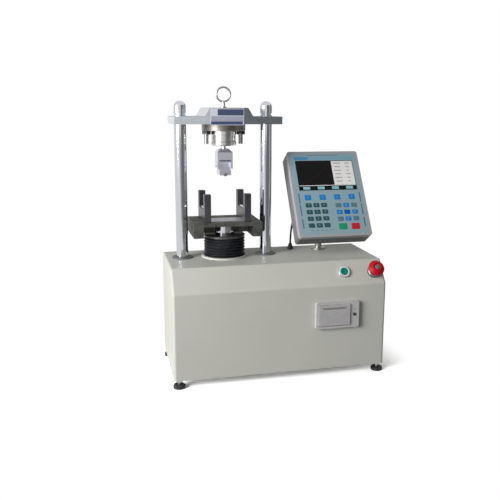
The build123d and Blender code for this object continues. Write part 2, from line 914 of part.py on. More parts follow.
def ram():
    """Plated ram, bored from below for the lead screw."""
    body = upright(load_x, load_y, (ram_bottom, ram_top), ram_diameter)
    body -= upright(load_x, load_y, (ram_bottom, screw_top + ram_bore_gap), ram_bore)
    for place in PolarLocations(ram_screw_circle_diameter / 2, 4, start_angle=45):
        z = ram_top - fixture_screw_grip
        hole = Cylinder(fixture_screw_diameter / 2, fixture_screw_grip, align=BASE)
        body -= Pos(load_x, load_y, z) * place * hole
    return body


def support_screw_places():
    """Centres of the screws that hold the prism supports."""
    xs = (load_x - support_span / 2, load_x + support_span / 2)
    return [(x, load_y + side * fixture_screw_offset) for x in xs for side in (-1, 1)]


def ram_screw_places():
    """Centres of the screws that hold the platen to the ram."""
    reach = ram_screw_circle_diameter / 2 * math.cos(math.radians(45))
    return [(load_x + sx * reach, load_y + sy * reach) for sx in (-1, 1) for sy in (-1, 1)]


def platen():
    """Saddle on the ram: a thick top, a skirt down each side and a web beside the ram."""
    half_x = platen_width / 2
    half_y = platen_depth / 2
    low = platen_underside - platen_skirt
    saddle = block((-half_x, half_x), (-half_y, half_y), (low, platen_top))
    inner = half_x - platen_wall
    saddle -= block((-inner, inner), (-half_y, half_y), (low, platen_underside))
    web_z = (platen_underside - platen_web_drop, platen_underside)
    web = block((-inner, inner), (-platen_web / 2, platen_web / 2), web_z)
    saddle += web - upright(0, 0, web_z, ram_diameter + 2 * platen_web_gap)
    saddle = chamfer(saddle.edges().filter_by(Axis.Y).group_by(Axis.Z)[-1], platen_edge)
    saddle = Pos(load_x, load_y, 0) * saddle
    for x, y in support_screw_places():
        saddle -= upright(x, y, (platen_underside, platen_top), fixture_screw_diameter)
        sunk = (platen_underside, platen_underside + fixture_screw_head_height)
        saddle -= upright(x, y, sunk, fixture_screw_head)
    for x, y in ram_screw_places():
        saddle -= upright(x, y, (platen_underside, platen_top), fixture_screw_diameter)
        saddle -= upright(x, y, (platen_top - ram_screw_head_height, platen_top), fixture_screw_head)
    return saddle


def span_scale():
    """Thin bright strip between the supports, in front of the screws."""
    half = (support_span - support_thickness) / 2 - scale_gap
    y = (load_y - scale_front, load_y + scale_rear)
    return block((load_x - half, load_x + half), y, (platen_top, platen_top + scale_thickness))


def supports():
    """Two forks that stand across the platen, each with a groove for its roller."""
    half = support_half_length
    inner = half - horn_thickness
    points = [
        (-half, 0), (half, 0), (half, horn_height), (inner, horn_height),
        (inner, support_web), (-inner, support_web), (-inner, horn_height), (-half, horn_height),
    ]
    outline = make_face(Plane.YZ * Polyline(points, close=True))
    fork = extrude(outline, support_thickness / 2, both=True)
    fork = chamfer(fork.edges().filter_by(Axis.X).group_by(Axis.Z)[-1], support_edge)
    groove = roller_diameter + 2 * running_clearance
    fork -= along_y(0, (-inner, inner), support_web, groove)
    for side in (-1, 1):
        hole = upright(0, side * fixture_screw_offset, (0, fixture_screw_grip), fixture_screw_diameter)
        fork -= hole
    xs = (load_x - support_span / 2, load_x + support_span / 2)
    return group(Pos(x, load_y, platen_top) * fork for x in xs)


def support_roller(side):
    """Roller that lies in the groove of one support."""
    x = load_x + side * support_span / 2
    ends = (load_y - roller_length / 2, load_y + roller_length / 2)
    roller = along_y(x, ends, support_roller_z, roller_diameter)
    return chamfer(roller.edges().filter_by(GeomType.CIRCLE), roller_chamfer)


def fixture_screws():
    """Screws of the supports from below and of the ram from above."""
    pieces = []
    shaft = fixture_screw_diameter
    for x, y in support_screw_places():
        head_top = platen_underside + fixture_screw_head_height
        screw = upright(x, y, (platen_underside, head_top), fixture_screw_head)
        pieces.append(screw + upright(x, y, (head_top, platen_top + fixture_screw_grip), shaft))
    for x, y in ram_screw_places():
        head_bottom = platen_top - ram_screw_head_height
        screw = upright(x, y, (head_bottom, platen_top), fixture_screw_head)
        screw += upright(x, y, (ram_top - fixture_screw_grip, head_bottom), shaft)
        socket = Pos(x, y, platen_top - ram_screw_head_height / 2)
        key = extrude(RegularPolygon(fixture_screw_head / 4, 6), ram_screw_head_height / 2)
        pieces.append(screw - socket * key)
    return group(pieces)


def guide_housing():
    """Flanged sleeve under the frame plate that carries the ram's bushes."""
    sleeve = upright(load_x, load_y, (housing_bottom, plate_top), housing_diameter)
    z = (plate_bottom - housing_flange, plate_bottom)
    sleeve += upright(load_x, load_y, z, housing_flange_diameter)
    sleeve -= upright(load_x, load_y, (housing_bottom, plate_top), housing_bore)
    for place in PolarLocations(housing_screw_circle_diameter / 2, 6):
        hole = Cylinder(housing_screw_diameter / 2, housing_flange, align=BASE)
        sleeve -= Pos(load_x, load_y, plate_bottom - housing_flange) * place * hole
    return sleeve


def guide_bushes():
    """Two bronze bushes that the ram slides in."""
    bore = ram_diameter + 2 * running_clearance
    lower = (housing_bottom, housing_bottom + bush_length)
    upper = (plate_top - bush_length, plate_top)
    return group(washer(load_x, load_y, z, housing_bore, bore) for z in (lower, upper))


def lead_screw():
    """Screw with a shoulder over its pulley and a journal in the bearings."""
    screw = upright(load_x, load_y, (screw_shoulder, screw_top), screw_diameter)
    screw = chamfer(screw.edges().sort_by(Axis.Z)[-1], screw_chamfer)
    foot = drive_floor + bearing_floor + screw_foot_gap
    return screw + upright(load_x, load_y, (foot, screw_shoulder), screw_journal)


def screw_nut():
    """Flanged nut in the foot of the ram."""
    flange = (ram_bottom - screw_nut_flange, ram_bottom)
    nut = upright(load_x, load_y, flange, ram_diameter - 2 * screw_nut_inset)
    nut += upright(load_x, load_y, (ram_bottom, ram_bottom + screw_nut_length), ram_bore)
    z = (flange[0], ram_bottom + screw_nut_length)
    return nut - upright(load_x, load_y, z, screw_diameter + 2 * running_clearance)


def screw_bearings():
    """Two bearings in the base's boss."""
    pieces = []
    bore = screw_journal + 2 * running_clearance
    for step in range(2):
        low = drive_floor + bearing_floor + step * bearing_spacing
        high = low + bearing_width
        ring = washer(load_x, load_y, (low, high), bearing_outer, bore)
        outer = bearing_outer - 2 * bearing_race
        inner = bore + 2 * bearing_inner_race
        pieces.append(ring - washer(load_x, load_y, (high - bearing_groove, high), outer, inner))
    return group(pieces)


def toothed_pulley(teeth, bore):
    """Toothed pulley with two flanges, standing on its lower flange."""
    radius = teeth * pulley_pitch / (2 * math.pi)
    height = belt_width + 2 * belt_side_gap
    wheel = Cylinder(radius, height, align=BASE)
    notch = Cylinder(pulley_tooth_radius, height, align=BASE)
    wheel -= [place * notch for place in PolarLocations(radius, teeth)]
    rim = Cylinder(radius + pulley_flange_rise, pulley_flange, align=BASE)
    wheel = Pos(0, 0, pulley_flange) * wheel + rim + Pos(0, 0, pulley_flange + height) * rim
    if bore > 0:
        wheel -= Cylinder(bore / 2, height + 2 * pulley_flange, align=BASE)
    return wheel


def pulley_low():
    """Height of the pulleys' lower faces."""
    return belt_low - belt_side_gap - pulley_flange


def driven_pulley():
    """Large pulley keyed to the lead screw, on a spacer that rests on the upper bearing."""
    wheel = toothed_pulley(screw_pulley_teeth, screw_journal)
    low = drive_floor + bearing_floor + bearing_spacing + bearing_width
    outer = screw_journal + 2 * spacer_wall
    spacer = washer(load_x, load_y, (low, pulley_low()), outer, screw_journal)
    return Pos(load_x, load_y, pulley_low()) * wheel + spacer


def motor_pulley():
    """Small pulley fixed on the motor's shaft."""
    wheel = Pos(motor_x, load_y, pulley_low()) * toothed_pulley(motor_pulley_teeth, 0)
    high = motor_floor + motor_plate + motor_shaft_grip
    return wheel + upright(motor_x, load_y, (screw_shoulder, high), motor_shaft)


def belt_outline(grow):
    """Belt path round both pulleys, grown outwards from their tips."""
    large = screw_pulley_teeth * pulley_pitch / (2 * math.pi) + grow
    small = motor_pulley_teeth * pulley_pitch / (2 * math.pi) + grow
    turn = math.acos((large - small) / motor_offset)
    sides = []
    for side in (1, -1):
        sides.append((large * math.cos(turn), side * large * math.sin(turn)))
        sides.append((motor_offset + small * math.cos(turn), side * small * math.sin(turn)))
    corners = [sides[0], sides[1], sides[3], sides[2]]
    face = make_face(Polyline(corners, close=True))
    return face + Circle(large) + Pos(motor_offset, 0) * Circle(small)


def drive_belt():
    """Belt round the two pulleys, clear of their teeth."""
    band = belt_outline(belt_gap + belt_thickness) - belt_outline(belt_gap)
    return Pos(load_x, load_y, belt_low) * extrude(band, belt_width)


def motor_bracket():
    """Table on four pillars that holds the motor over its pulley."""
    reach = motor_size / 2 + motor_plate_margin
    x = (motor_x - reach, motor_x + reach)
    y = (load_y - reach, load_y + reach)
    table = block(x, y, (motor_floor, motor_floor + motor_plate))
    pillar = reach - motor_pillar / 2
    for sx in (-1, 1):
        for sy in (-1, 1):
            place = (motor_x + sx * pillar, load_y + sy * pillar)
            table += upright(*place, (drive_floor, motor_floor), motor_pillar)
    return table - upright(motor_x, load_y, (motor_floor, motor_floor + motor_plate), motor_boss)


def motor():
    """Square drive motor with its terminal cap, bored for its shaft."""
    low = motor_floor + motor_plate
    body = Box(motor_size, motor_size, motor_length, align=BASE)
    body = fillet(body.edges().filter_by(Axis.Z), motor_corner)
    cap = Box(motor_cap_width, 2 * motor_cap_depth, motor_cap_height, align=BASE)
    body += Pos(0, motor_size / 2, motor_cap_low) * cap
    boss = Pos(0, 0, -motor_plate) * Cylinder(motor_boss / 2, motor_plate, align=BASE)
    body += boss
    bore = motor_shaft / 2 + running_clearance
    body -= Pos(0, 0, -motor_plate) * Cylinder(bore, motor_plate + motor_shaft_grip, align=BASE)
    return Pos(motor_x, load_y, low) * body


def motor_driver():
    """Finned drive box on the cabinet's floor, in front of the motor."""
    y = front_y + driver_setback
    body = Box(driver_width, driver_depth, driver_height, align=BASE)
    fins = int(driver_width / driver_fin_pitch) - 1
    for fin in range(fins):
        place = (fin - (fins - 1) / 2) * driver_fin_pitch
        slot = Box(driver_fin_pitch / 2, 2 * driver_fin_depth, driver_height, align=BASE)
        body -= Pos(place, driver_depth / 2, 0) * slot
    return Pos(motor_x, y, inside_floor) * body


def start_bezel():
    """Bright bezel of the start button with its barrel through the panel."""
    bezel = Cylinder(bezel_diameter / 2, bezel_height, align=BASE)
    bezel = fillet(bezel.edges().sort_by(Axis.Z)[-1], bezel_height / 3)
    bezel += Pos(0, 0, -barrel_length) * Cylinder(barrel_diameter / 2, barrel_length, align=BASE)
    well = bezel_height + start_travel
    recess = Cylinder(start_cap_diameter / 2 + running_clearance, well, align=BASE)
    bezel -= Pos(0, 0, -start_travel) * recess
    bore = Cylinder(start_stem_diameter / 2 + running_clearance, barrel_length, align=BASE)
    return on_slope(start_x, start_up) * (bezel - Pos(0, 0, -barrel_length) * bore)


def start_button():
    """Green cap with its stem."""
    cap = Cylinder(start_cap_diameter / 2, start_cap_height - start_cap_gap, align=BASE)
    cap = fillet(cap.edges().sort_by(Axis.Z)[-1], start_cap_edge)
    low = start_travel + stem_reach - barrel_length
    stem = Cylinder(start_stem_diameter / 2, start_cap_gap - low, align=BASE)
    return on_slope(start_x, start_up) * (Pos(0, 0, start_cap_gap) * cap + Pos(0, 0, low) * stem)


def stop_collar():
    """Collar under the stop button's head, with its barrel through the panel."""
    collar = Cylinder(stop_collar_diameter / 2, stop_collar_height, align=BASE)
    collar = chamfer(collar.edges().sort_by(Axis.Z)[-1], stop_collar_height / 4)
    collar += Pos(0, 0, -barrel_length) * Cylinder(barrel_diameter / 2, barrel_length, align=BASE)
    length = barrel_length + stop_collar_height
    bore = Cylinder(stop_stem_diameter / 2 + running_clearance, length, align=BASE)
    return on_slope(stop_x, stop_up) * (collar - Pos(0, 0, -barrel_length) * bore)


def stop_head():
    """Red mushroom head on its stem."""
    radius = stop_head_diameter / 2
    low = stop_travel + stem_reach - barrel_length
    stem = stop_stem_diameter / 2
    rim = stop_head_rise + stop_head_edge
    top = stop_head_rise + stop_head_height
    crown_height = top - rim
    crown_radius = (radius ** 2 + crown_height ** 2) / (2 * crown_height)
    profile = Polyline(
        (0, low), (stem, low), (stem, stop_head_rise - stop_head_under),
        (stem + stop_head_flare, stop_head_rise), (radius, stop_head_rise + stop_head_under),
        (radius, rim),
    )
    crown = RadiusArc((radius, rim), (0, top), -crown_radius)
    face = make_face(Plane.XZ * (profile + crown + Line((0, top), (0, low))))
    return on_slope(stop_x, stop_up) * revolve(face, Axis.Z)


def switch_blocks():
    """Lock rings and contact blocks behind the two buttons."""
    pieces = []
    for x, up in ((start_x, start_up), (stop_x, stop_up)):
        ring = Cylinder(lock_ring_diameter / 2, lock_ring_height, align=BASE)
        ring -= Cylinder(barrel_diameter / 2, lock_ring_height, align=BASE)
        place = on_slope(x, up)
        pieces.append(place * Pos(0, 0, -sheet - lock_ring_height) * ring)
        contact = Box(contact_block, contact_block, contact_block_length, align=BASE)
        low = -barrel_length - contact_block_length
        pieces.append(place * Pos(0, 0, low) * contact)
    return group(pieces)


def printer_housing():
    """Panel printer's moulded rim and the hollow body behind it."""
    half_x = printer_width / 2
    half_z = printer_height / 2
    rim = block((-half_x, half_x), (-printer_rim, 0), (-half_z, half_z))
    rim = fillet(rim.edges().filter_by(Axis.Y), printer_rim_radius)
    body_x = half_x - printer_wall - sheet_clearance
    body_z = half_z - printer_wall - sheet_clearance
    body = block((-body_x, body_x), (0, printer_depth), (-body_z, body_z))
    shell = rim + body
    door_x = (door_offset - door_width / 2 - door_gap, door_offset + door_width / 2 + door_gap)
    low = -door_height / 2 - door_gap
    high = door_height / 2 + door_gap
    well = (-printer_rim, door_thickness - printer_proud + door_gap)
    shell -= block(door_x, well, (low, high))
    tray_x = paper_roll_length / 2 + roll_side_gap
    tray_z = door_height / 2 - printer_wall
    tray = block((door_offset - tray_x, door_offset + tray_x), (well[1], printer_depth - printer_wall),
                 (-tray_z, tray_z))
    shell -= tray
    pin_z = -door_height / 2 + door_thickness / 2
    pin_y = door_thickness / 2 - printer_proud
    pin_x = (door_x[0] - door_pin_length, door_x[1] + door_pin_length)
    shell -= along_x(pin_x, pin_y, pin_z, door_pin_diameter + 2 * running_clearance)
    spindle = along_x((door_offset - tray_x, door_offset + tray_x), paper_roll_setback, 0,
                      paper_roll_core - 2 * running_clearance)
    shell += spindle
    key_x = feed_key_x()
    hole = feed_key_diameter + 2 * running_clearance
    shell -= along_y(key_x, (-printer_rim, feed_key_length + feed_key_travel - printer_rim), 0, hole)
    return Pos(printer_x, front_y, printer_z) * shell


def feed_key_x():
    """Middle of the strip right of the printer's door."""
    edge = door_offset + door_width / 2 + door_gap
    return (edge + printer_width / 2) / 2


def printer_door():
    """Door with the paper slot, hung on two stub pins at its foot."""
    half = door_width / 2
    y = (-printer_proud, door_thickness - printer_proud)
    door = block((-half, half), y, (-door_height / 2, door_height / 2))
    foot = door.edges().filter_by(Axis.X).group_by(Axis.Z)[0]
    door = fillet(foot, door_thickness / 2 - door_foot_flat)
    head = door.edges().filter_by(Axis.X).group_by(Axis.Z)[-1].sort_by(Axis.Y)[0]
    door = fillet(head, door_edge)
    slot_z = door_height / 2 - paper_slot_from_top
    slot = Box(paper_slot_width, 4 * door_thickness, paper_slot_height)
    door -= Pos(0, -printer_proud, slot_z) * slot
    pin_z = -door_height / 2 + door_thickness / 2
    pin_y = door_thickness / 2 - printer_proud
    reach = half + door_gap + door_pin_length - door_pin_gap
    door += along_x((-reach, reach), pin_y, pin_z, door_pin_diameter)
    return Pos(printer_x + door_offset, front_y, printer_z) * door


def paper_roll():
    """Roll of paper on the printer's spindle."""
    half = paper_roll_length / 2
    roll = along_x((-half, half), 0, 0, paper_roll_diameter)
    roll -= along_x((-half, half), 0, 0, paper_roll_core)
    return Pos(printer_x + door_offset, front_y + paper_roll_setback, printer_z) * roll


def feed_key():
    """Round key beside the printer's door."""
    y = (-printer_rim - feed_key_proud, feed_key_length - printer_rim)
    key = along_y(feed_key_x(), y, 0, feed_key_diameter)
    key = fillet(key.edges().filter_by(GeomType.CIRCLE).sort_by(Axis.Y)[0], feed_key_edge)
    return Pos(printer_x, front_y, printer_z) * key


def key_pads():
    """Centres and sizes of the raised keys, on the unit's face."""
    pads = [((x, y), number_key) for x in key_columns for y in key_rows]
    pads += [((x, function_row), function_key) for x in function_columns]
    pads += [((x, y), arrow_key) for x in arrow_columns for y in arrow_rows]
    return pads + [(start_key, large_key), (stop_key, large_key)]


def control_front():
    """Front half of the control unit, open behind, with the screen's window."""
    body = Pos(0, 0, -unit_front_depth) * Box(unit_width, unit_height, unit_front_depth, align=BASE)
    body = fillet(body.edges().filter_by(Axis.Z), unit_radius)
    body = fillet(body.edges().group_by(Axis.Z)[-1], unit_front_edge)
    inner = Box(unit_width - 2 * unit_wall, unit_height - 2 * unit_wall, unit_front_depth, align=BASE)
    inner = fillet(inner.edges().filter_by(Axis.Z), unit_radius - unit_wall)
    body -= Pos(0, 0, -unit_front_depth - unit_wall - keypad_thickness) * inner
    width = unit_width - 2 * keypad_margin
    height = unit_height - 2 * keypad_margin
    recess = Box(width + 2 * spigot_clearance, height + 2 * spigot_clearance, unit_wall, align=BASE)
    body -= Pos(0, 0, -keypad_thickness) * recess
    body -= Pos(screen_x, screen_y, 0) * Box(screen_width, screen_height, 4 * unit_front_depth)
    return on_unit() * body


def control_keypad():
    """Printed membrane with raised keys and a window for the screen."""
    width = unit_width - 2 * keypad_margin
    height = unit_height - 2 * keypad_margin
    film = Pos(0, 0, -keypad_thickness) * Box(width, height, keypad_thickness, align=BASE)
    film -= Pos(screen_x, screen_y, 0) * Box(screen_width, screen_height, 4 * keypad_thickness)
    for (x, y), (key_width, key_height) in key_pads():
        pad = Box(key_width, key_height, key_rise, align=BASE)
        pad = fillet(pad.edges().filter_by(Axis.Z), key_radius)
        film += Pos(x, y, 0) * pad
    return on_unit() * film


def control_board():
    """Circuit board with the display module behind the window."""
    front = -unit_wall - keypad_thickness
    module = Box(screen_width + 2 * screen_lap, screen_height + 2 * screen_lap, screen_module_depth)
    module = Pos(screen_x, screen_y, front - screen_module_depth / 2) * module
    low = front - screen_module_depth - board_thickness
    width = unit_width - 2 * unit_wall - 2 * board_margin
    height = unit_height - 2 * unit_wall - 2 * board_margin
    board = Pos(0, 0, low) * Box(width, height, board_thickness, align=BASE)
    return on_unit() * (module + board)


def control_rear_cover():
    """Hollow rear half of the control unit with two lugs for its hinge."""
    depth = unit_depth - unit_front_depth
    body = Pos(0, 0, -unit_depth) * Box(unit_width, unit_height, depth, align=BASE)
    body = fillet(body.edges().filter_by(Axis.Z), unit_radius)
    body = fillet(body.edges().group_by(Axis.Z)[0], unit_rear_edge)
    inner = Box(unit_width - 2 * unit_wall, unit_height - 2 * unit_wall, depth, align=BASE)
    inner = fillet(inner.edges().filter_by(Axis.Z), unit_radius - unit_wall)
    body -= Pos(0, 0, unit_wall - unit_depth) * inner
    axis_z = -unit_depth - hinge_behind
    for side in (-1, 1):
        near = side * (knuckle_width / 2 + lug_gap)
        far = side * (knuckle_width / 2 + lug_gap + lug_thickness)
        x = (min(near, far) - unit_offset, max(near, far) - unit_offset)
        lug = block(x, (-lug_width / 2, lug_width / 2), (axis_z, -unit_depth))
        lug += along_x(x, 0, axis_z, lug_width)
        lug -= along_x(x, 0, axis_z, trunnion_diameter + 2 * running_clearance)
        body += lug
    return on_unit() * body


def control_post():
    """Post with its foot flange, the cross pin that the unit hinges on, and the nut below."""
    y = front_y + post_setback
    post = upright(post_x, y, (top_z, top_z + post_flange_height), post_flange_diameter)
    post += upright(post_x, y, (top_z - sheet - post_tail, top_z), post_tail_diameter)
    post += upright(post_x, y, (top_z, hinge_z), post_diameter)
    half = knuckle_width / 2
    post += along_x((post_x - half, post_x + half), y, hinge_z, knuckle_diameter)
    reach = half + lug_gap + lug_thickness
    left = post_x - reach - pin_overhang
    post += along_x((left, post_x + reach), y, hinge_z, trunnion_diameter)
    stud_end = post_x + reach + lug_gap + knob_length - knob_face
    post += along_x((post_x, stud_end), y, hinge_z, knob_stud)
    post -= along_x((left, left + cable_grip), y, hinge_z, cable_diameter)
    nut = (plate_top - post_nut_height, plate_top)
    return group([post, hex_bar(post_x, y, nut, post_nut_flats, post_tail_diameter)])


def tilt_knob():
    """Lobed clamping knob on the end of the cross pin."""
    radius = knob_diameter / 2
    knob = Cylinder(radius, knob_length, align=BASE)
    knob = chamfer(knob.edges().group_by(Axis.Z)[-1], knob_chamfer)
    dip = Cylinder(knob_dip_radius, knob_length, align=BASE)
    places = PolarLocations(radius + knob_dip_radius - knob_notch_depth, knob_lobes)
    knob -= [place * dip for place in places]
    depth = knob_length - knob_face + lug_gap
    knob -= Cylinder(knob_stud / 2 + running_clearance, depth, align=BASE)
    x = post_x + knuckle_width / 2 + 2 * lug_gap + lug_thickness
    return Pos(x, front_y + post_setback, hinge_z) * Rot(0, 90, 0) * knob


def cable_gland():
    """Gland in the cabinet's top, with its nut below the sheet."""
    y = front_y + gland_setback
    gland = hex_bar(gland_x, y, (top_z, top_z + gland_base), gland_flats)
    neck = gland_height - gland_base
    cone = Cone(gland_flats / 2 - gland_cone_step, gland_top_diameter / 2, neck, align=BASE)
    gland += Pos(gland_x, y, top_z + gland_base) * cone
    gland += upright(gland_x, y, (top_z - sheet - gland_tail, top_z), gland_thread)
    z = (top_z - sheet - gland_tail + gland_thread_end, top_z - sheet)
    return gland + hex_bar(gland_x, y, z, gland_flats)


def cable_route():
    """Points of the lead from the gland up to the end of the cross pin."""
    y = front_y + gland_setback
    low = top_z + gland_height
    hinge_y = front_y + post_setback
    end_x = post_x - knuckle_width / 2 - lug_gap - lug_thickness - pin_overhang + cable_grip
    return [
        (gland_x, y, low),
        (gland_x, y, low + cable_low_bend),
        (gland_x - 2.0, y + 0.5, low + cable_high_bend),
        (gland_x + 5.0, y - 5.0, hinge_z - cable_drop),
        (gland_x + cable_run, hinge_y + 1.5, hinge_z - 1.0),
        (end_x - 16.0, hinge_y, hinge_z),
        (end_x, hinge_y, hinge_z),
    ]


def corner_radii(points):
    """Largest tangent arc for each corner, from its shorter run and its turn."""
    corners = [Vector(*point) for point in points]
    radii = []
    for before, here, after in zip(corners, corners[1:], corners[2:]):
        turn = math.radians((here - before).get_angle(after - here))
        run = min((here - before).length, (after - here).length)
        radii.append(0.45 * run / math.tan(turn / 2))
    return radii


def control_cable():
    """Lead between the gland and the control unit's hinge."""
    points = cable_route()
    radii = corner_radii(points)
    print("lead radii", [round(radius, 1) for radius in radii])
    path = FilletPolyline(*points, radius=radii)
    start = Plane(origin=path @ 0, z_dir=path % 0)
    lead = sweep(start * Circle(cable_diameter / 2), path=path)
    print("lead length", round(path.length, 1), "volume", round(lead.volume, 1),
          "section times length", round(path.length * math.pi * cable_diameter ** 2 / 4, 1))
    return lead


def power_inlet():
    """Mains inlet with its socket and the well of its switch."""
    half_x = inlet_width / 2
    half_z = inlet_height / 2
    flange = block((-half_x, half_x), (0, inlet_flange), (-half_z, half_z))
    flange = fillet(flange.edges().filter_by(Axis.Y), inlet_radius)
    body_x = half_x - inlet_body_margin
    body_z = half_z - inlet_body_margin
    body = flange + block((-body_x, body_x), (-inlet_body_depth, 0), (-body_z, body_z))
    socket_x = (-socket_width / 2, socket_width / 2)
    socket_z = (-socket_drop - socket_height / 2, -socket_drop + socket_height / 2)
    body -= block(socket_x, (inlet_flange - socket_depth, inlet_flange), socket_z)
    for place in (-1, 0, 1):
        x = place * pin_spacing
        z = -socket_drop + (0 if place else pin_height / 2)
        pin_x = (x - pin_size / 2, x + pin_size / 2)
        pin_y = (inlet_flange - socket_depth, inlet_flange - socket_depth + pin_length)
        body += block(pin_x, pin_y, (z - pin_height / 2, z + pin_height / 2))
    reach = math.hypot(rocker_half, rocker_face) + rocker_gap
    well_x = rocker_width / 2 + rocker_gap
    well_z = (rocker_rise - reach, rocker_rise + reach)
    depth = reach + rocker_sunk
    body -= block((-well_x, well_x), (inlet_flange - depth, inlet_flange), well_z)
    pivot_y = inlet_flange - rocker_sunk
    body += along_x((-well_x, well_x), pivot_y, rocker_rise, rocker_pin)
    return Pos(inlet_x, rear_y + cover_sheet, inlet_z) * body


def power_rocker():
    """Rocker of the mains switch, resting with its lower half pressed in."""
    half = rocker_width / 2
    points = [
        (-rocker_back, -rocker_half), (rocker_face, -rocker_half), (rocker_face - rocker_dish, 0),
        (rocker_face, rocker_half), (-rocker_back, rocker_half),
    ]
    outline = make_face(Plane.YZ * Polyline(points, close=True))
    rocker = extrude(outline, half, both=True)
    rocker -= along_x((-half, half), 0, 0, rocker_pin + 2 * running_clearance)
    y = rear_y + cover_sheet + inlet_flange - rocker_sunk
    return Pos(inlet_x, y, inlet_z + rocker_rise) * Rot(-rocker_tilt, 0, 0) * rocker


def case_screws():
    """Screws of the rear cover."""
    pieces = []
    outer = rear_y + cover_sheet
    for x, z in cover_screw_places():
        head = along_y(x, (outer, outer + cover_screw_proud), z, cover_screw_head)
        rim = head.edges().filter_by(GeomType.CIRCLE).sort_by(Axis.Y)[-1]
        pieces.append(fillet(rim, cover_screw_edge))
    return group(pieces)


nodes = {
    "cabinet_shell": cabinet_shell,
    "rear_cover": rear_cover,
    "bottom_plate": bottom_plate,
    "foot_pads": foot_pads,
    "frame_fasteners": frame_fasteners,
    "sub_frame": sub_frame,
    "drive_base": drive_base,
    "columns": columns,
    "column_collars": column_collars,
    "dome_nuts": dome_nuts,
    "crosshead": crosshead,
    "crosshead_label": crosshead_label,
    "eyebolt": eyebolt,
    "load_cell_flange": load_cell_flange,
    "load_cell_body": load_cell_body,
    "load_clevis": load_clevis,
    "clevis_pin": clevis_pin,
    "load_nose": load_nose,
    "load_roller": load_roller,
    "bellows_ring": bellows_ring,
    "bellows": bellows,
    "bellows_collar": bellows_collar,
    "ram": ram,
    "platen": platen,
    "span_scale": span_scale,
    "supports": supports,
    "support_roller_left": lambda: support_roller(-1),
    "support_roller_right": lambda: support_roller(1),
    "fixture_screws": fixture_screws,
    "guide_housing": guide_housing,
    "guide_bushes": guide_bushes,
    "lead_screw": lead_screw,
    "screw_nut": screw_nut,
    "screw_bearings": screw_bearings,
    "driven_pulley": driven_pulley,
    "motor_pulley": motor_pulley,
    "drive_belt": drive_belt,
    "motor_bracket": motor_bracket,
    "motor": motor,
    "motor_driver": motor_driver,
    "start_bezel": start_bezel,
    "start_button": start_button,
    "stop_collar": stop_collar,
    "stop_head": stop_head,
    "switch_blocks": switch_blocks,
    "printer_housing": printer_housing,
    "printer_door": printer_door,
    "paper_roll": paper_roll,
    "feed_key": feed_key,
    "control_front": control_front,
    "control_keypad": control_keypad,
    "control_board": control_board,
    "control_rear_cover": control_rear_cover,
    "control_post": control_post,
    "tilt_knob": tilt_knob,
    "cable_gland": cable_gland,
    "control_cable": control_cable,
    "power_inlet": power_inlet,
    "power_rocker": power_rocker,
    "case_screws": case_screws,
}

os.makedirs("parts", exist_ok=True)
for name, make in nodes.items():
    export_step(make(), f"parts/{name}.step")
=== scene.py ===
"""Looks of the bench tester for cement prisms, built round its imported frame."""

import json
import logging
import math
from dataclasses import dataclass, field
from enum import Enum

import bpy
from mathutils import Matrix, Vector


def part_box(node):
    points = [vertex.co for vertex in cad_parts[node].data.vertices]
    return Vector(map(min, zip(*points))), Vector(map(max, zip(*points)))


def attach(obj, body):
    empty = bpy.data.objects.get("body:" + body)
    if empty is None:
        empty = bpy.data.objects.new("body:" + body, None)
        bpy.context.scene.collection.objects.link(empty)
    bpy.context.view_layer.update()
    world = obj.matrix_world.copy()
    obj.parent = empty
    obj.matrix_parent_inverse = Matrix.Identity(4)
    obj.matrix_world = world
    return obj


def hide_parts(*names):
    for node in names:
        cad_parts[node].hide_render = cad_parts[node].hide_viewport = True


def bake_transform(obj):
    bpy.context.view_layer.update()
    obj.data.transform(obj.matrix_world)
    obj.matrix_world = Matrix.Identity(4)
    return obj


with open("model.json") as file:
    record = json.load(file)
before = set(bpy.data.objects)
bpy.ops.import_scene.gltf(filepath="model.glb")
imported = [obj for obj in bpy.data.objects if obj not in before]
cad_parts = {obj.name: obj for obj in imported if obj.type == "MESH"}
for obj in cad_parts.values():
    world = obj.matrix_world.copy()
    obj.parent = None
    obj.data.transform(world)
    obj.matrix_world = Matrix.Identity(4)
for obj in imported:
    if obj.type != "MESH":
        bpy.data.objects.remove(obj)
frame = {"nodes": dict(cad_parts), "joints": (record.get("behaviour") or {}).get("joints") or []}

log = logging.getLogger("tester")

Triple = tuple[float, float, float]
Pair = tuple[float, float]
Ring = list[Triple]


class Axis(Enum):
    """Direction of a finish's grain."""

    X = (0.04, 1.0, 1.0)
    Y = (1.0, 0.04, 1.0)
    Z = (1.0, 1.0, 0.04)
    NONE = (1.0, 1.0, 1.0)


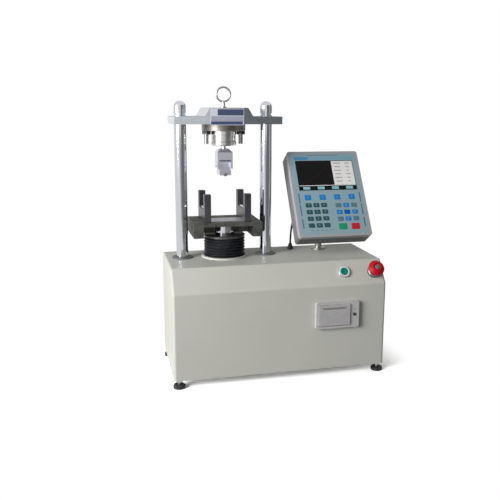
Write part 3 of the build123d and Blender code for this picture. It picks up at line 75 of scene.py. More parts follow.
class Recipe:
    """Node tree of one material, with short calls for the nodes that the finishes share."""

    edge_samples: int = 4
    edge_starts: float = 0.99
    edge_full: float = 0.88
    relief_strength: float = 0.6

    def __init__(self, name: str) -> None:
        """Starts a material with a Principled shader.

        Args:
            name: Name of the material.
        """
        self.material = bpy.data.materials.new(name)
        self.material.use_nodes = True
        self.nodes = self.material.node_tree.nodes
        self.links = self.material.node_tree.links
        self.shader = self.nodes["Principled BSDF"]
        self.place = self.nodes.new("ShaderNodeTexCoord").outputs["Object"]

    def constant(self, **values: float) -> None:
        """Sets plain numbers on the shader's own sockets.

        Args:
            values: Socket names with underscores for blanks, and their numbers.
        """
        for key, value in values.items():
            self.shader.inputs[key.replace("_", " ").title()].default_value = value

    def specular(self, level: float) -> None:
        """Sets how strongly the surface mirrors, where 0.5 is plain plastic or paint."""
        self.shader.inputs["Specular IOR Level"].default_value = level

    def noise(self, size: float, detail: float = 2.0, grain: Axis = Axis.NONE) -> bpy.types.NodeSocket:
        """Noise with features of a given width, long along the grain.

        Args:
            size: Width of a feature in metres.
            detail: Octaves of finer noise.
            grain: Direction in which the features are long.

        Returns:
            The noise's value from 0 to 1.
        """
        mapping = self.nodes.new("ShaderNodeMapping")
        mapping.inputs["Scale"].default_value = grain.value
        self.links.new(self.place, mapping.inputs["Vector"])
        noise = self.nodes.new("ShaderNodeTexNoise")
        noise.inputs["Scale"].default_value = 1.0 / size
        noise.inputs["Detail"].default_value = detail
        self.links.new(mapping.outputs["Vector"], noise.inputs["Vector"])
        return noise.outputs["Fac"]

    def ramp(self, value: bpy.types.NodeSocket, low: float, high: float,
             first: Triple, second: Triple) -> bpy.types.NodeSocket:
        """Colour that runs from one to another as a value rises.

        Args:
            value: Value that is read.
            low: Value up to which the first colour holds.
            high: Value from which the second colour holds.
            first: First colour.
            second: Second colour.

        Returns:
            The colour.
        """
        ramp = self.nodes.new("ShaderNodeValToRGB")
        start, end = ramp.color_ramp.elements
        start.position, end.position = low, high
        start.color = (*first, 1.0)
        end.color = (*second, 1.0)
        self.links.new(value, ramp.inputs["Fac"])
        return ramp.outputs["Color"]

    def span(self, value: bpy.types.NodeSocket, low: float, high: float) -> bpy.types.NodeSocket:
        """Value stretched from 0..1 to another span.

        Args:
            value: Value that is read.
            low: Result at 0.
            high: Result at 1.

        Returns:
            The stretched value.
        """
        spread = self.nodes.new("ShaderNodeMapRange")
        spread.inputs["To Min"].default_value = low
        spread.inputs["To Max"].default_value = high
        self.links.new(value, spread.inputs["Value"])
        return spread.outputs["Result"]

    def about(self, value: bpy.types.NodeSocket, middle: float, reach: float) -> bpy.types.NodeSocket:
        """Value stretched from 0..1 to as far on both sides of a middle.

        Args:
            value: Value that is read.
            middle: Middle of the result.
            reach: How far the result goes from the middle.

        Returns:
            The stretched value.
        """
        return self.span(value, middle - reach, middle + reach)

    def worn(self, colour: bpy.types.NodeSocket, bright: Triple, width: float,
             share: float) -> bpy.types.NodeSocket:
        """Colour that turns brighter along sharp edges.

        Args:
            colour: Colour of the faces.
            bright: Colour of the edges.
            width: Width of the worn band in metres.
            share: How far an edge goes to the bright colour.

        Returns:
            The mixed colour.
        """
        bevel = self.nodes.new("ShaderNodeBevel")
        bevel.samples = self.edge_samples
        bevel.inputs["Radius"].default_value = width
        flat = self.nodes.new("ShaderNodeNewGeometry")
        dot = self.nodes.new("ShaderNodeVectorMath")
        dot.operation = "DOT_PRODUCT"
        self.links.new(bevel.outputs["Normal"], dot.inputs[0])
        self.links.new(flat.outputs["Normal"], dot.inputs[1])
        edge = self.nodes.new("ShaderNodeMapRange")
        edge.inputs["From Min"].default_value = self.edge_starts
        edge.inputs["From Max"].default_value = self.edge_full
        edge.inputs["To Max"].default_value = share
        self.links.new(dot.outputs["Value"], edge.inputs["Value"])
        mix = self.nodes.new("ShaderNodeMix")
        mix.data_type = "RGBA"
        self.links.new(edge.outputs["Result"], mix.inputs["Factor"])
        self.links.new(colour, mix.inputs["A"])
        mix.inputs["B"].default_value = (*bright, 1.0)
        return mix.outputs["Result"]

    def colour(self, colour: bpy.types.NodeSocket) -> None:
        """Gives the shader its colour."""
        self.links.new(colour, self.shader.inputs["Base Color"])

    def roughness(self, value: bpy.types.NodeSocket) -> None:
        """Gives the shader its roughness."""
        self.links.new(value, self.shader.inputs["Roughness"])

    def relief(self, height: bpy.types.NodeSocket, depth: float) -> None:
        """Raises the surface by a value.

        Args:
            height: Value from 0 to 1.
            depth: Height of the relief in metres.
        """
        bump = self.nodes.new("ShaderNodeBump")
        bump.inputs["Distance"].default_value = depth
        bump.inputs["Strength"].default_value = self.relief_strength
        self.links.new(height, bump.inputs["Height"])
        self.links.new(bump.outputs["Normal"], self.shader.inputs["Normal"])


def shade(colour: Triple, factor: float) -> Triple:
    """Colour made darker or lighter.

    Args:
        colour: Colour to change.
        factor: Share of the colour that is kept.

    Returns:
        The changed colour.
    """
    return tuple(min(1.0, part * factor) for part in colour)


@dataclass(frozen=True)
class PowderCoat:
    """Baked powder paint with a faint orange peel and a slow drift of tone."""

    name: str
    colour: Triple
    gloss: float = 0.36
    coat: float = 0.25
    peel: float = 0.0022
    peel_depth: float = 0.00005
    drift: float = 0.22
    mirror: float = 0.4
    tones: Pair = (0.97, 1.03)
    blotch: float = 0.03
    gloss_spread: float = 0.05
    coat_gloss: float = 0.22

    def build(self) -> bpy.types.Material:
        """Makes the material.

        Returns:
            The finished material.
        """
        recipe = Recipe(self.name)
        slow = recipe.noise(self.drift, 3.0)
        dark, light = (shade(self.colour, tone) for tone in self.tones)
        recipe.colour(recipe.ramp(slow, 0.3, 0.7, dark, light))
        blotches = recipe.noise(self.blotch, 3.0)
        recipe.roughness(recipe.about(blotches, self.gloss, self.gloss_spread))
        recipe.relief(recipe.noise(self.peel, 1.0), self.peel_depth)
        recipe.constant(coat_weight=self.coat, coat_roughness=self.coat_gloss)
        recipe.specular(self.mirror)
        return recipe.material


@dataclass(frozen=True)
class Plating:
    """Polished plating with faint wiping marks."""

    name: str
    colour: Triple
    gloss: float = 0.09
    grain: Axis = Axis.Z
    marks: float = 0.004
    marks_tone: float = 0.94
    marks_depth: float = 0.000004
    blotch: float = 0.02
    gloss_range: Pair = (0.6, 1.8)

    def build(self) -> bpy.types.Material:
        """Makes the material.

        Returns:
            The finished material.
        """
        recipe = Recipe(self.name)
        marks = recipe.noise(self.marks, 3.0, self.grain)
        recipe.colour(recipe.ramp(marks, 0.25, 0.75, shade(self.colour, self.marks_tone), self.colour))
        least, most = self.gloss_range
        recipe.roughness(recipe.span(recipe.noise(self.blotch, 4.0), self.gloss * least, self.gloss * most))
        recipe.relief(marks, self.marks_depth)
        recipe.constant(metallic=1.0)
        return recipe.material


@dataclass(frozen=True)
class Steel:
    """Machined or ground steel with grain, patches of oil or oxide and bright edges."""

    name: str
    colour: Triple
    patch: Triple
    gloss: float = 0.34
    grain: Axis = Axis.X
    patch_size: float = 0.03
    edge: float = 0.55
    edge_tone: float = 1.7
    edge_width: float = 0.0006
    marks: float = 0.0011
    marks_depth: float = 0.00002
    gloss_range: Pair = (-0.08, 0.1)

    def build(self) -> bpy.types.Material:
        """Makes the material.

        Returns:
            The finished material.
        """
        recipe = Recipe(self.name)
        patches = recipe.noise(self.patch_size, 5.0)
        toned = recipe.ramp(patches, 0.35, 0.68, self.colour, self.patch)
        recipe.colour(recipe.worn(toned, shade(self.colour, self.edge_tone), self.edge_width, self.edge))
        marks = recipe.noise(self.marks, 3.0, self.grain)
        least, most = self.gloss_range
        recipe.roughness(recipe.span(marks, self.gloss + least, self.gloss + most))
        recipe.relief(marks, self.marks_depth)
        recipe.constant(metallic=1.0)
        return recipe.material


@dataclass(frozen=True)
class Fastener:
    """Bright steel of the feet, blackened nuts under the load cell's flange and grey studs."""

    name: str
    bright: Triple
    black: Triple
    stud_top: float = 0.5915
    gloss: float = 0.36
    border: float = 0.0004
    oil: Triple = (0.62, 0.62, 0.60)
    oil_size: float = 0.005
    marks: float = 0.0012
    marks_depth: float = 0.00002
    gloss_range: Pair = (-0.08, 0.12)

    def build(self) -> bpy.types.Material:
        """Makes the material.

        Returns:
            The finished material.
        """
        recipe = Recipe(self.name)
        split = recipe.nodes.new("ShaderNodeSeparateXYZ")
        recipe.links.new(recipe.place, split.inputs["Vector"])
        height = recipe.ramp(split.outputs["Z"], self.stud_top - self.border,
                             self.stud_top + self.border, self.bright, self.black)
        tone = recipe.ramp(recipe.noise(self.oil_size, 4.0), 0.3, 0.8, (1.0, 1.0, 1.0), self.oil)
        mix = recipe.nodes.new("ShaderNodeMix")
        mix.data_type = "RGBA"
        mix.blend_type = "MULTIPLY"
        mix.inputs["Factor"].default_value = 1.0
        recipe.links.new(height, mix.inputs["A"])
        recipe.links.new(tone, mix.inputs["B"])
        recipe.colour(mix.outputs["Result"])
        marks = recipe.noise(self.marks, 3.0)
        least, most = self.gloss_range
        recipe.roughness(recipe.span(marks, self.gloss + least, self.gloss + most))
        recipe.relief(marks, self.marks_depth)
        recipe.constant(metallic=1.0)
        return recipe.material


@dataclass(frozen=True)
class Rubber:
    """Moulded rubber with a fine skin and a little dust."""

    name: str
    colour: Triple
    dust: Triple = (0.09, 0.095, 0.10)
    mirror: float = 0.25
    dust_size: float = 0.012
    blotch: float = 0.006
    gloss_range: Pair = (0.38, 0.62)
    skin: float = 0.0006
    skin_depth: float = 0.00003

    def build(self) -> bpy.types.Material:
        """Makes the material.

        Returns:
            The finished material.
        """
        recipe = Recipe(self.name)
        recipe.colour(recipe.ramp(recipe.noise(self.dust_size, 6.0), 0.45, 0.85, self.colour, self.dust))
        recipe.roughness(recipe.span(recipe.noise(self.blotch, 3.0), *self.gloss_range))
        recipe.relief(recipe.noise(self.skin, 2.0), self.skin_depth)
        recipe.specular(self.mirror)
        return recipe.material


@dataclass(frozen=True)
class Moulding:
    """Moulded plastic with a fine spark texture."""

    name: str
    colour: Triple
    gloss: float = 0.42
    coat: float = 0.0
    texture: float = 0.0005
    texture_depth: float = 0.00002
    mirror: float = 0.35
    drift: float = 0.015
    tones: Pair = (0.93, 1.05)
    gloss_spread: float = 0.06
    coat_gloss: float = 0.12

    def build(self) -> bpy.types.Material:
        """Makes the material.

        Returns:
            The finished material.
        """
        recipe = Recipe(self.name)
        slow = recipe.noise(self.drift, 4.0)
        dark, light = (shade(self.colour, tone) for tone in self.tones)
        recipe.colour(recipe.ramp(slow, 0.3, 0.7, dark, light))
        recipe.roughness(recipe.about(slow, self.gloss, self.gloss_spread))
        recipe.relief(recipe.noise(self.texture, 1.0), self.texture_depth)
        recipe.constant(coat_weight=self.coat, coat_roughness=self.coat_gloss)
        recipe.specular(self.mirror)
        return recipe.material


@dataclass(frozen=True)
class Print:
    """Ink on a film or a lit display: even, with a fine grain."""

    name: str
    colour: Triple
    gloss: float = 0.38
    glow: float = 0.0
    mirror: float = 0.4
    grain: float = 0.0009
    grain_depth: float = 0.000008
    tones: Pair = (0.94, 1.04)
    blotch: float = 0.01
    gloss_spread: float = 0.05

    def build(self) -> bpy.types.Material:
        """Makes the material.

        Returns:
            The finished material.
        """
        recipe = Recipe(self.name)
        fine = recipe.noise(self.grain, 2.0)
        dark, light = (shade(self.colour, tone) for tone in self.tones)
        recipe.colour(recipe.ramp(fine, 0.2, 0.8, dark, light))
        blotches = recipe.noise(self.blotch, 2.0)
        recipe.roughness(recipe.about(blotches, self.gloss, self.gloss_spread))
        recipe.relief(fine, self.grain_depth)
        recipe.shader.inputs["Emission Color"].default_value = (*self.colour, 1.0)
        recipe.constant(emission_strength=self.glow)
        recipe.specular(self.mirror)
        return recipe.material


class Finishes:
    """Every finish of the tester, built once."""

    def __init__(self) -> None:
        """Builds the materials."""
        self.cabinet = PowderCoat("cabinet_cream", (0.54, 0.542, 0.495), 0.46, 0.0, mirror=0.18).build()
        self.unit_case = PowderCoat("unit_grey", (0.35, 0.365, 0.38), 0.46, 0.0, 0.0012,
                                    mirror=0.25).build()
        # Painted shade: the rear cover's dark grey stands in for the shade under the control unit; the
        # cover itself is likely the front's light grey.
        self.unit_back = PowderCoat("unit_dark_grey_painted_shade", (0.135, 0.137, 0.14), 0.5, 0.0, 0.0012).build()
        # Dark primer of the frame parts; on the column collars this dark grey is partly painted shade,
        # standing in for the shade at the columns' feet.
        self.primer = PowderCoat("frame_primer_and_painted_shade", (0.12, 0.125, 0.13), 0.6, 0.0).build()
        self.motor = PowderCoat("motor_enamel", (0.03, 0.03, 0.034), 0.4, 0.2).build()
        self.chrome = Plating("hard_chrome", (0.61, 0.62, 0.66)).build()
        self.pin_chrome = Plating("roller_chrome", (0.62, 0.62, 0.65), 0.16, Axis.Y).build()
        self.crosshead = Steel("crosshead_steel", (0.52, 0.56, 0.59), (0.485, 0.52, 0.55), 0.13).build()
        self.flange = Steel("flange_steel", (0.25, 0.232, 0.215), (0.20, 0.187, 0.172), 0.36,
                            Axis.NONE).build()
        self.cell = Steel("cell_steel", (0.68, 0.67, 0.65), (0.58, 0.57, 0.55), 0.22, Axis.NONE).build()
        self.load = Steel("load_steel", (0.74, 0.74, 0.82), (0.64, 0.64, 0.71), 0.36, Axis.Z).build()
        self.fixture = Steel("fixture_steel", (0.105, 0.100, 0.112), (0.075, 0.07, 0.08), 0.38,
                             Axis.Z).build()
        self.platen = Steel("platen_steel", (0.118, 0.120, 0.108), (0.070, 0.070, 0.062), 0.62,
                            Axis.X, 0.018).build()
        self.scale = Steel("scale_steel", (0.60, 0.605, 0.62), (0.51, 0.515, 0.53), 0.34).build()
        self.zinc = Steel("zinc_plate", (0.46, 0.46, 0.44), (0.36, 0.36, 0.34), 0.34, Axis.NONE,
                          0.008).build()
        # Painted shade, in part: the bellows collar is dark steel, and its very dark grey also stands in
        # for the shade that the platen casts on the collar's top.
        self.collar = Steel("collar_steel_and_painted_shade", (0.11, 0.11, 0.11), (0.07, 0.07, 0.07), 0.45, Axis.NONE,
                            0.012, 0.3).build()
        self.satin = Steel("satin_chrome", (0.20, 0.20, 0.20), (0.15, 0.15, 0.15), 0.48,
                           Axis.NONE).build()
        self.fastener = Fastener("fastener_steel", (0.36, 0.36, 0.35), (0.03, 0.03, 0.033)).build()
        self.black_oxide = Steel("black_oxide", (0.045, 0.045, 0.05), (0.02, 0.02, 0.022), 0.38,
                                 Axis.NONE, 0.006, 0.3).build()
        self.bronze = Steel("bush_bronze", (0.52, 0.35, 0.15), (0.42, 0.27, 0.11), 0.3).build()
        self.alloy = Steel("anodised_alloy", (0.50, 0.51, 0.53), (0.44, 0.45, 0.46), 0.4).build()
        self.brass = Steel("contact_brass", (0.62, 0.46, 0.20), (0.50, 0.36, 0.15), 0.28,
                           Axis.Y).build()
        self.rubber = Rubber("bellows_rubber", (0.010, 0.011, 0.014), (0.032, 0.035, 0.042)).build()
        self.foot = Rubber("foot_rubber", (0.012, 0.012, 0.012)).build()
        self.belt = Rubber("belt_rubber", (0.02, 0.02, 0.02)).build()
        self.sheath = Rubber("lead_sheath", (0.018, 0.018, 0.02)).build()
        self.black = Moulding("black_moulding", (0.03, 0.03, 0.033)).build()
        self.green = Moulding("green_cap", (0.0, 0.205, 0.140), 0.45, 0.0, mirror=0.2).build()
        self.red = Moulding("red_head", (0.47, 0.003, 0.016), 0.45, 0.0, mirror=0.2).build()
        self.centre = Moulding("head_centre", (0.13, 0.20, 0.16), 0.4, 0.05).build()
        self.printer = Moulding("printer_case", (0.50, 0.495, 0.485), 0.42).build()
        self.printer_face = Moulding("printer_door", (0.44, 0.43, 0.44), 0.45).build()
        self.paper = Moulding("thermal_paper", (0.80, 0.80, 0.77), 0.7, 0.0, 0.0003).build()
        self.film = Print("keypad_film", (0.258, 0.372, 0.420)).build()
        self.board = Moulding("circuit_board", (0.02, 0.06, 0.05), 0.4).build()
        self.key_teal = Print("key_teal", (0.020, 0.078, 0.090), 0.3, 0.0, 0.25).build()
        self.key_faded = Print("key_faded_teal", (0.085, 0.18, 0.205), 0.34).build()
        self.key_blue = Print("key_blue", (0.010, 0.20, 0.56), 0.3, 0.0, 0.25).build()
        self.key_navy = Print("key_navy", (0.002, 0.10, 0.34), 0.3, 0.0, 0.2).build()
        self.key_green = Print("key_green", (0.008, 0.285, 0.15), 0.3, 0.0, 0.25).build()
        self.key_red = Print("key_red", (0.52, 0.012, 0.027), 0.3, 0.0, 0.25).build()
        self.rule = Print("rule_slate", (0.085, 0.135, 0.19), 0.3).build()
        self.legend = Print("legend_white", (0.20, 0.31, 0.36)).build()
        self.band_blue = Print("band_blue", (0.060, 0.265, 0.48), 0.3).build()
        self.band_light = Print("band_light_blue", (0.185, 0.365, 0.48), 0.3).build()
        self.screen_black = Print("screen_black", (0.004, 0.004, 0.005), 0.3, 0.0, 0.1).build()
        self.screen_white = Print("screen_white", (0.74, 0.73, 0.72), 0.2, 0.08).build()
        self.screen_grey = Print("screen_grey", (0.34, 0.33, 0.35), 0.2).build()
        self.screen_cyan = Print("screen_cyan", (0.19, 0.44, 0.49), 0.2, 0.1).build()
        self.screen_trace = Print("screen_trace", (0.10, 0.02, 0.02), 0.2, 0.1, 0.1).build()
        self.screen_grid = Print("screen_grid", (0.012, 0.014, 0.013), 0.2, 0.0, 0.1).build()
        self.label_white = Print("label_white", (0.62, 0.65, 0.72), 0.3).build()
        self.label_blue = Print("label_blue", (0.055, 0.078, 0.150), 0.3).build()
        self.label_grey = Print("label_grey", (0.36, 0.37, 0.46), 0.3).build()
        self.lamp = Moulding("lamp_green", (0.10, 0.45, 0.12), 0.25, 0.4).build()


NODE_FINISHES = {
    "cabinet": ("cabinet_shell", "rear_cover", "bellows_ring"),
    "zinc": ("bottom_plate", "eyebolt", "lead_screw", "screw_bearings", "control_post", "case_screws"),
    # The collar's dark grey is partly painted shade under the platen.
    "collar": ("bellows_collar",),
    "foot": ("foot_pads",),
    "fastener": ("frame_fasteners",),
    "black_oxide": ("fixture_screws",),
    # On the column collars the primer's dark grey is partly painted shade at the columns' feet.
    "primer": ("sub_frame", "drive_base", "guide_housing", "motor_bracket", "column_collars"),
    "chrome": ("columns", "dome_nuts", "ram", "start_bezel"),
    "satin": ("stop_collar",),
    "pin_chrome": ("load_roller", "support_roller_left", "support_roller_right"),
    "crosshead": ("crosshead",),
    "label_white": ("crosshead_label",),
    "flange": ("load_cell_flange",),
    "cell": ("load_cell_body",),
    "load": ("load_clevis", "clevis_pin", "load_nose"),
    "platen": ("platen",),
    "scale": ("span_scale",),
    "fixture": ("supports",),
    "bronze": ("guide_bushes", "screw_nut"),
    "alloy": ("driven_pulley", "motor_pulley", "motor_driver"),
    "belt": ("drive_belt",),
    "motor": ("motor",),
    "rubber": ("bellows",),
    "green": ("start_button",),
    "red": ("stop_head",),
    "black": ("switch_blocks", "feed_key", "tilt_knob", "cable_gland",
              "power_inlet", "power_rocker"),
    "printer": ("printer_housing",),
    "printer_face": ("printer_door",),
    "paper": ("paper_roll",),
    "unit_case": ("control_front",),
    # The rear cover's dark grey is painted shade under the control unit.
    "unit_back": ("control_rear_cover",),
    "film": ("control_keypad",),
    "board": ("control_board",),
    "sheath": ("control_cable",),
}


def placed(name: str, data: bpy.types.ID) -> bpy.types.Object:
    """Object that shows a mesh, curve, lamp or camera in the scene.

    Args:
        name: Name of the object.
        data: What it shows.

    Returns:
        The object.
    """
    made = bpy.data.objects.new(name, data)
    bpy.context.scene.collection.objects.link(made)
    return made


def rectangle(name: str, size: Pair) -> bpy.types.Mesh:
    """Flat rectangle about its own middle.

    Args:
        name: Name of the mesh.
        size: Its width and height.

    Returns:
        The mesh.
    """
    x, y = size[0] / 2, size[1] / 2
    mesh = bpy.data.meshes.new(name)
    mesh.from_pydata([(-x, -y, 0), (x, -y, 0), (x, y, 0), (-x, y, 0)], [], [(0, 1, 2, 3)])
    return mesh


def blank_material(name: str) -> bpy.types.Material:
    """Material whose usual shader is taken out.

    Args:
        name: Name of the material.

    Returns:
        The material.
    """
    material = bpy.data.materials.new(name)
    material.use_nodes = True
    material.node_tree.nodes.remove(material.node_tree.nodes["Principled BSDF"])
    return material


def circle(radius: float, height: float, segments: int) -> Ring:
    """Points of a level circle about the local Z axis.

    Args:
        radius: Radius in metres.
        height: Height in metres.
        segments: Number of points.

    Returns:
        The points, anticlockwise from above.
    """
    turns = [2 * math.pi * step / segments for step in range(segments)]
    return [(radius * math.cos(turn), radius * math.sin(turn), height) for turn in turns]


def rounded_outline(width: float, height: float, radius: float, steps: int = 5) -> list[Pair]:
    """Points of a rectangle with round corners, about its centre.

    Args:
        width: Width in metres.
        height: Height in metres.
        radius: Radius of the corners in metres.
        steps: Steps in each corner.

    Returns:
        The points, anticlockwise.
    """
    radius = min(radius, 0.49 * width, 0.49 * height)
    points = []
    for corner, (side, end) in enumerate(((1, 1), (-1, 1), (-1, -1), (1, -1))):
        centre = (side * (width / 2 - radius), end * (height / 2 - radius))
        for step in range(steps + 1):
            turn = math.pi / 2 * (corner + step / steps)
            points.append((centre[0] + radius * math.cos(turn), centre[1] + radius * math.sin(turn)))
    return points


@dataclass
class Sketch:
    """Vertices and faces of a mesh while it is put together."""

    vertices: list[Triple] = field(default_factory=list)
    faces: list[tuple[int, ...]] = field(default_factory=list)

    def loft(self, rings: list[Ring], looped: bool = False) -> "Sketch":
        """Joins rings of equal length with quads.

        Args:
            rings: Rings from the first to the last, each with as many points.
            looped: True joins the last ring to the first, and False caps both.

        Returns:
            The sketch itself.
        """
        base = len(self.vertices)
        count = len(rings[0])
        for ring in rings:
            self.vertices.extend(ring)
        rows = len(rings) if looped else len(rings) - 1
        for row in range(rows):
            here = base + row * count
            above = base + (row + 1) % len(rings) * count
            for step in range(count):
                beside = (step + 1) % count
                self.faces.append((here + step, here + beside, above + beside, above + step))
        if not looped:
            last = base + (len(rings) - 1) * count
            self.faces.append(tuple(reversed(range(base, base + count))))
            self.faces.append(tuple(range(last, last + count)))
        return self

    def lathe(self, profile: list[Pair], segments: int = 64, looped: bool = False) -> "Sketch":
        """Turns a profile of radii and heights about the local Z axis.

        Args:
            profile: Radius and height of each ring.
            segments: Points in a ring.
            looped: True for a profile that closes on itself.

        Returns:
            The sketch itself.
        """
        return self.loft([circle(radius, height, segments) for radius, height in profile], looped)

    def plate(self, centre: Pair, size: Pair, radius: float, levels: list[Pair]) -> "Sketch":
        """Adds a plate with round corners whose sides step inwards with height.

        Args:
            centre: Place of the middle.
            size: Width and height.
            radius: Radius of the corners.
            levels: Inset and height of each ring, from the lowest.

        Returns:
            The sketch itself.
        """
        rings = []
        for inset, level in levels:
            outline = rounded_outline(size[0] - 2 * inset, size[1] - 2 * inset,
                                      max(radius - inset, 0.0002))
            rings.append([(centre[0] + x, centre[1] + y, level) for x, y in outline])
        return self.loft(rings)

    def lettering(self, text: str, centre: Pair, size: float, low: float, high: float) -> "Sketch":
        """Adds a raised figure or sign.

        Args:
            text: What it says.
            centre: Place of the middle.
            size: Height of the line in metres.
            low: Height of its foot.
            high: Height of its face.

        Returns:
            The sketch itself.
        """
        curve = bpy.data.curves.new("figure", "FONT")
        curve.body = text
        curve.size = size
        curve.align_x = "CENTER"
        curve.align_y = "CENTER"
        curve.extrude = (high - low) / 2
        curve.resolution_u = 4
        holder = placed("figure", curve)
        mesh = bpy.data.meshes.new_from_object(holder)
        base = len(self.vertices)
        middle = (low + high) / 2
        for spot in (vertex.co for vertex in mesh.vertices):
            self.vertices.append((centre[0] + spot.x, centre[1] + spot.y, middle + spot.z))
        self.faces.extend(tuple(base + index for index in face.vertices) for face in mesh.polygons)
        bpy.data.objects.remove(holder)
        bpy.data.curves.remove(curve)
        bpy.data.meshes.remove(mesh)
        return self

    def piece(self, name: str, place: Matrix, finish: bpy.types.Material, body: str | None,
              crease: float = 32.0) -> bpy.types.Object:
        """Turns the sketch into a piece of the tester.

        Args:
            name: Name of the piece.
            place: Where its local frame lies.
            finish: Its material.
            body: Body that it rides on, or None for a piece that is left unattached.
            crease: Angle in degrees from which an edge stays sharp.

        Returns:
            The piece.
        """
        mesh = bpy.data.meshes.new(name)
        mesh.from_pydata(self.vertices, [], self.faces)
        mesh.transform(place)
        mesh.shade_smooth()
        mesh.set_sharp_from_angle(angle=math.radians(crease))
        mesh.materials.append(finish)
        made = placed(name, mesh)
        if body is not None:
            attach(made, body)
        log.info("%s: %d faces, rides on %s", name, len(self.faces), body or "two bodies")
        return made


def leaning(origin: Triple, lean: float) -> Matrix:
    """Frame whose Z leans back from facing the front, with its Y up the face.

    Args:
        origin: Its origin.
        lean: Angle from facing the front, in radians.

    Returns:
        The frame's matrix.
    """
    across = Vector((1, 0, 0))
    up = Vector((0, math.sin(lean), math.cos(lean)))
    out = Vector((0, -math.cos(lean), math.sin(lean)))
    return Matrix.Translation(origin) @ Matrix((across, up, out)).transposed().to_4x4()


def joint_place(name: str) -> Vector:
    """Point on a joint's axis at rest.

    Args:
        name: Name of the joint.

    Returns:
        The point, in metres.
    """
    joint = next(joint for joint in frame["joints"] if joint["name"] == name)
    return Vector(joint["pos_m"])


@dataclass
class Studio:
    """Camera at the photograph's viewpoint, soft light, pale floor."""

    camera_place: Triple = (-0.40484, -1.57027, 0.65111)
    yaw: float = 13.584
    pitch: float = 11.042
    roll: float = 0.223
    focal_px: float = 651.26
    frame_px: float = 500.0
    centre_px: Pair = (261.71, 237.01)
    sensor: float = 36.0
    aim: Triple = (0.0, 0.0, 0.28)
    ambient: float = 0.185
    floor_size: float = 6.0
    floor_tone: float = 0.25
    floor_seen: float = 1.75
    footprint: Pair = (0.265, 0.120)
    fade: Pair = (0.0, 0.11)

    def build(self) -> None:
        """Sets up everything round the object."""
        self.camera()
        self.world()
        self.floor()
        self.softbox("key_light", (-2.58, -1.42, 1.20), (1.5, 1.5), 129.0)
        self.softbox("rear_fill", (2.4, 2.2, 0.5), (1.6, 1.6), 56.0, mirrored=False)
        self.card("front_card", (-0.30, -2.15, 0.05), (1.35, 0.90), 0.50)
        self.card("low_card", (-0.03, -1.50, 0.12), (0.36, 0.66), 0.30)
        self.card("right_card", (0.70, -1.06, 0.55), (1.40, 2.2), 0.21)
        self.card("far_right_card", (2.3, 0.3, 0.60), (2.6, 2.6), 0.30)
        self.card("rear_card", (1.3, 2.4, 0.60), (3.6, 2.6), 0.40)
        bpy.context.scene.view_settings.view_transform = "Standard"

    def camera(self) -> None:
        """Makes the camera that took the photograph."""
        yaw, pitch, roll = (math.radians(turn) for turn in (self.yaw, self.pitch, self.roll))
        ahead = Vector((math.sin(yaw) * math.cos(pitch), math.cos(yaw) * math.cos(pitch),
                        -math.sin(pitch)))
        level = Vector((math.cos(yaw), -math.sin(yaw), 0))
        rise = level.cross(ahead)
        right = math.cos(roll) * level + math.sin(roll) * rise
        up = math.cos(roll) * rise - math.sin(roll) * level
        data = bpy.data.cameras.new("camera")
        data.sensor_width = self.sensor
        data.lens = self.sensor * self.focal_px / self.frame_px
        data.shift_x = (self.frame_px / 2 - self.centre_px[0]) / self.frame_px
        data.shift_y = (self.centre_px[1] - self.frame_px / 2) / self.frame_px
        camera = placed("camera", data)
        turned = Matrix((right, up, -ahead)).transposed().to_4x4()
        camera.matrix_world = Matrix.Translation(self.camera_place) @ turned
        bpy.context.scene.camera = camera

    def world(self) -> None:
        """Makes a plain ambient light that looks white to the camera and in reflections."""
        world = bpy.data.worlds.new("studio")
        world.use_nodes = True
        nodes, links = world.node_tree.nodes, world.node_tree.links
        background = nodes["Background"]
        background.inputs["Color"].default_value = (1.0, 1.0, 1.0, 1.0)
        strength = nodes.new("ShaderNodeMapRange")
        strength.inputs["To Min"].default_value = self.ambient
        strength.inputs["To Max"].default_value = 1.0
        links.new(seen_directly(nodes, links), strength.inputs["Value"])
        links.new(strength.outputs["Result"], background.inputs["Strength"])
        bpy.context.scene.world = world

    def floor(self) -> None:
        """Makes the pale floor, which keeps the shadow near the object and fades to white."""
        mesh = rectangle("floor", (self.floor_size, self.floor_size))
        floor = placed("floor", mesh)
        material = blank_material("pale_floor")
        nodes, links = material.node_tree.nodes, material.node_tree.links
        lit = nodes.new("ShaderNodeBsdfDiffuse")
        tone = nodes.new("ShaderNodeMapRange")
        tone.inputs["To Min"].default_value = self.floor_tone
        tone.inputs["To Max"].default_value = self.floor_seen
        links.new(seen_directly(nodes, links), tone.inputs["Value"])
        links.new(tone.outputs["Result"], lit.inputs["Color"])
        white = nodes.new("ShaderNodeEmission")
        place = nodes.new("ShaderNodeTexCoord")
        outside = place.outputs["Object"]
        for operation, other in (("ABSOLUTE", None), ("SUBTRACT", (*self.footprint, 0.0)),
                                 ("MAXIMUM", (0.0, 0.0, 0.0))):
            step = nodes.new("ShaderNodeVectorMath")
            step.operation = operation
            links.new(outside, step.inputs[0])
            if other is not None:
                step.inputs[1].default_value = other
            outside = step.outputs["Vector"]
        length = nodes.new("ShaderNodeVectorMath")
        length.operation = "LENGTH"
        links.new(outside, length.inputs[0])
        fade = nodes.new("ShaderNodeMapRange")
        fade.interpolation_type = "SMOOTHSTEP"
        fade.inputs["From Min"].default_value = self.fade[0]
        fade.inputs["From Max"].default_value = self.fade[1]
        links.new(length.outputs["Value"], fade.inputs["Value"])
        seen = nodes.new("ShaderNodeMath")
        seen.operation = "MULTIPLY"
        links.new(fade.outputs["Result"], seen.inputs[0])
        links.new(seen_directly(nodes, links), seen.inputs[1])
        mix = nodes.new("ShaderNodeMixShader")
        links.new(seen.outputs["Value"], mix.inputs["Fac"])
        links.new(lit.outputs["BSDF"], mix.inputs[1])
        links.new(white.outputs["Emission"], mix.inputs[2])
        links.new(mix.outputs["Shader"], nodes["Material Output"].inputs["Surface"])
        mesh.materials.append(material)

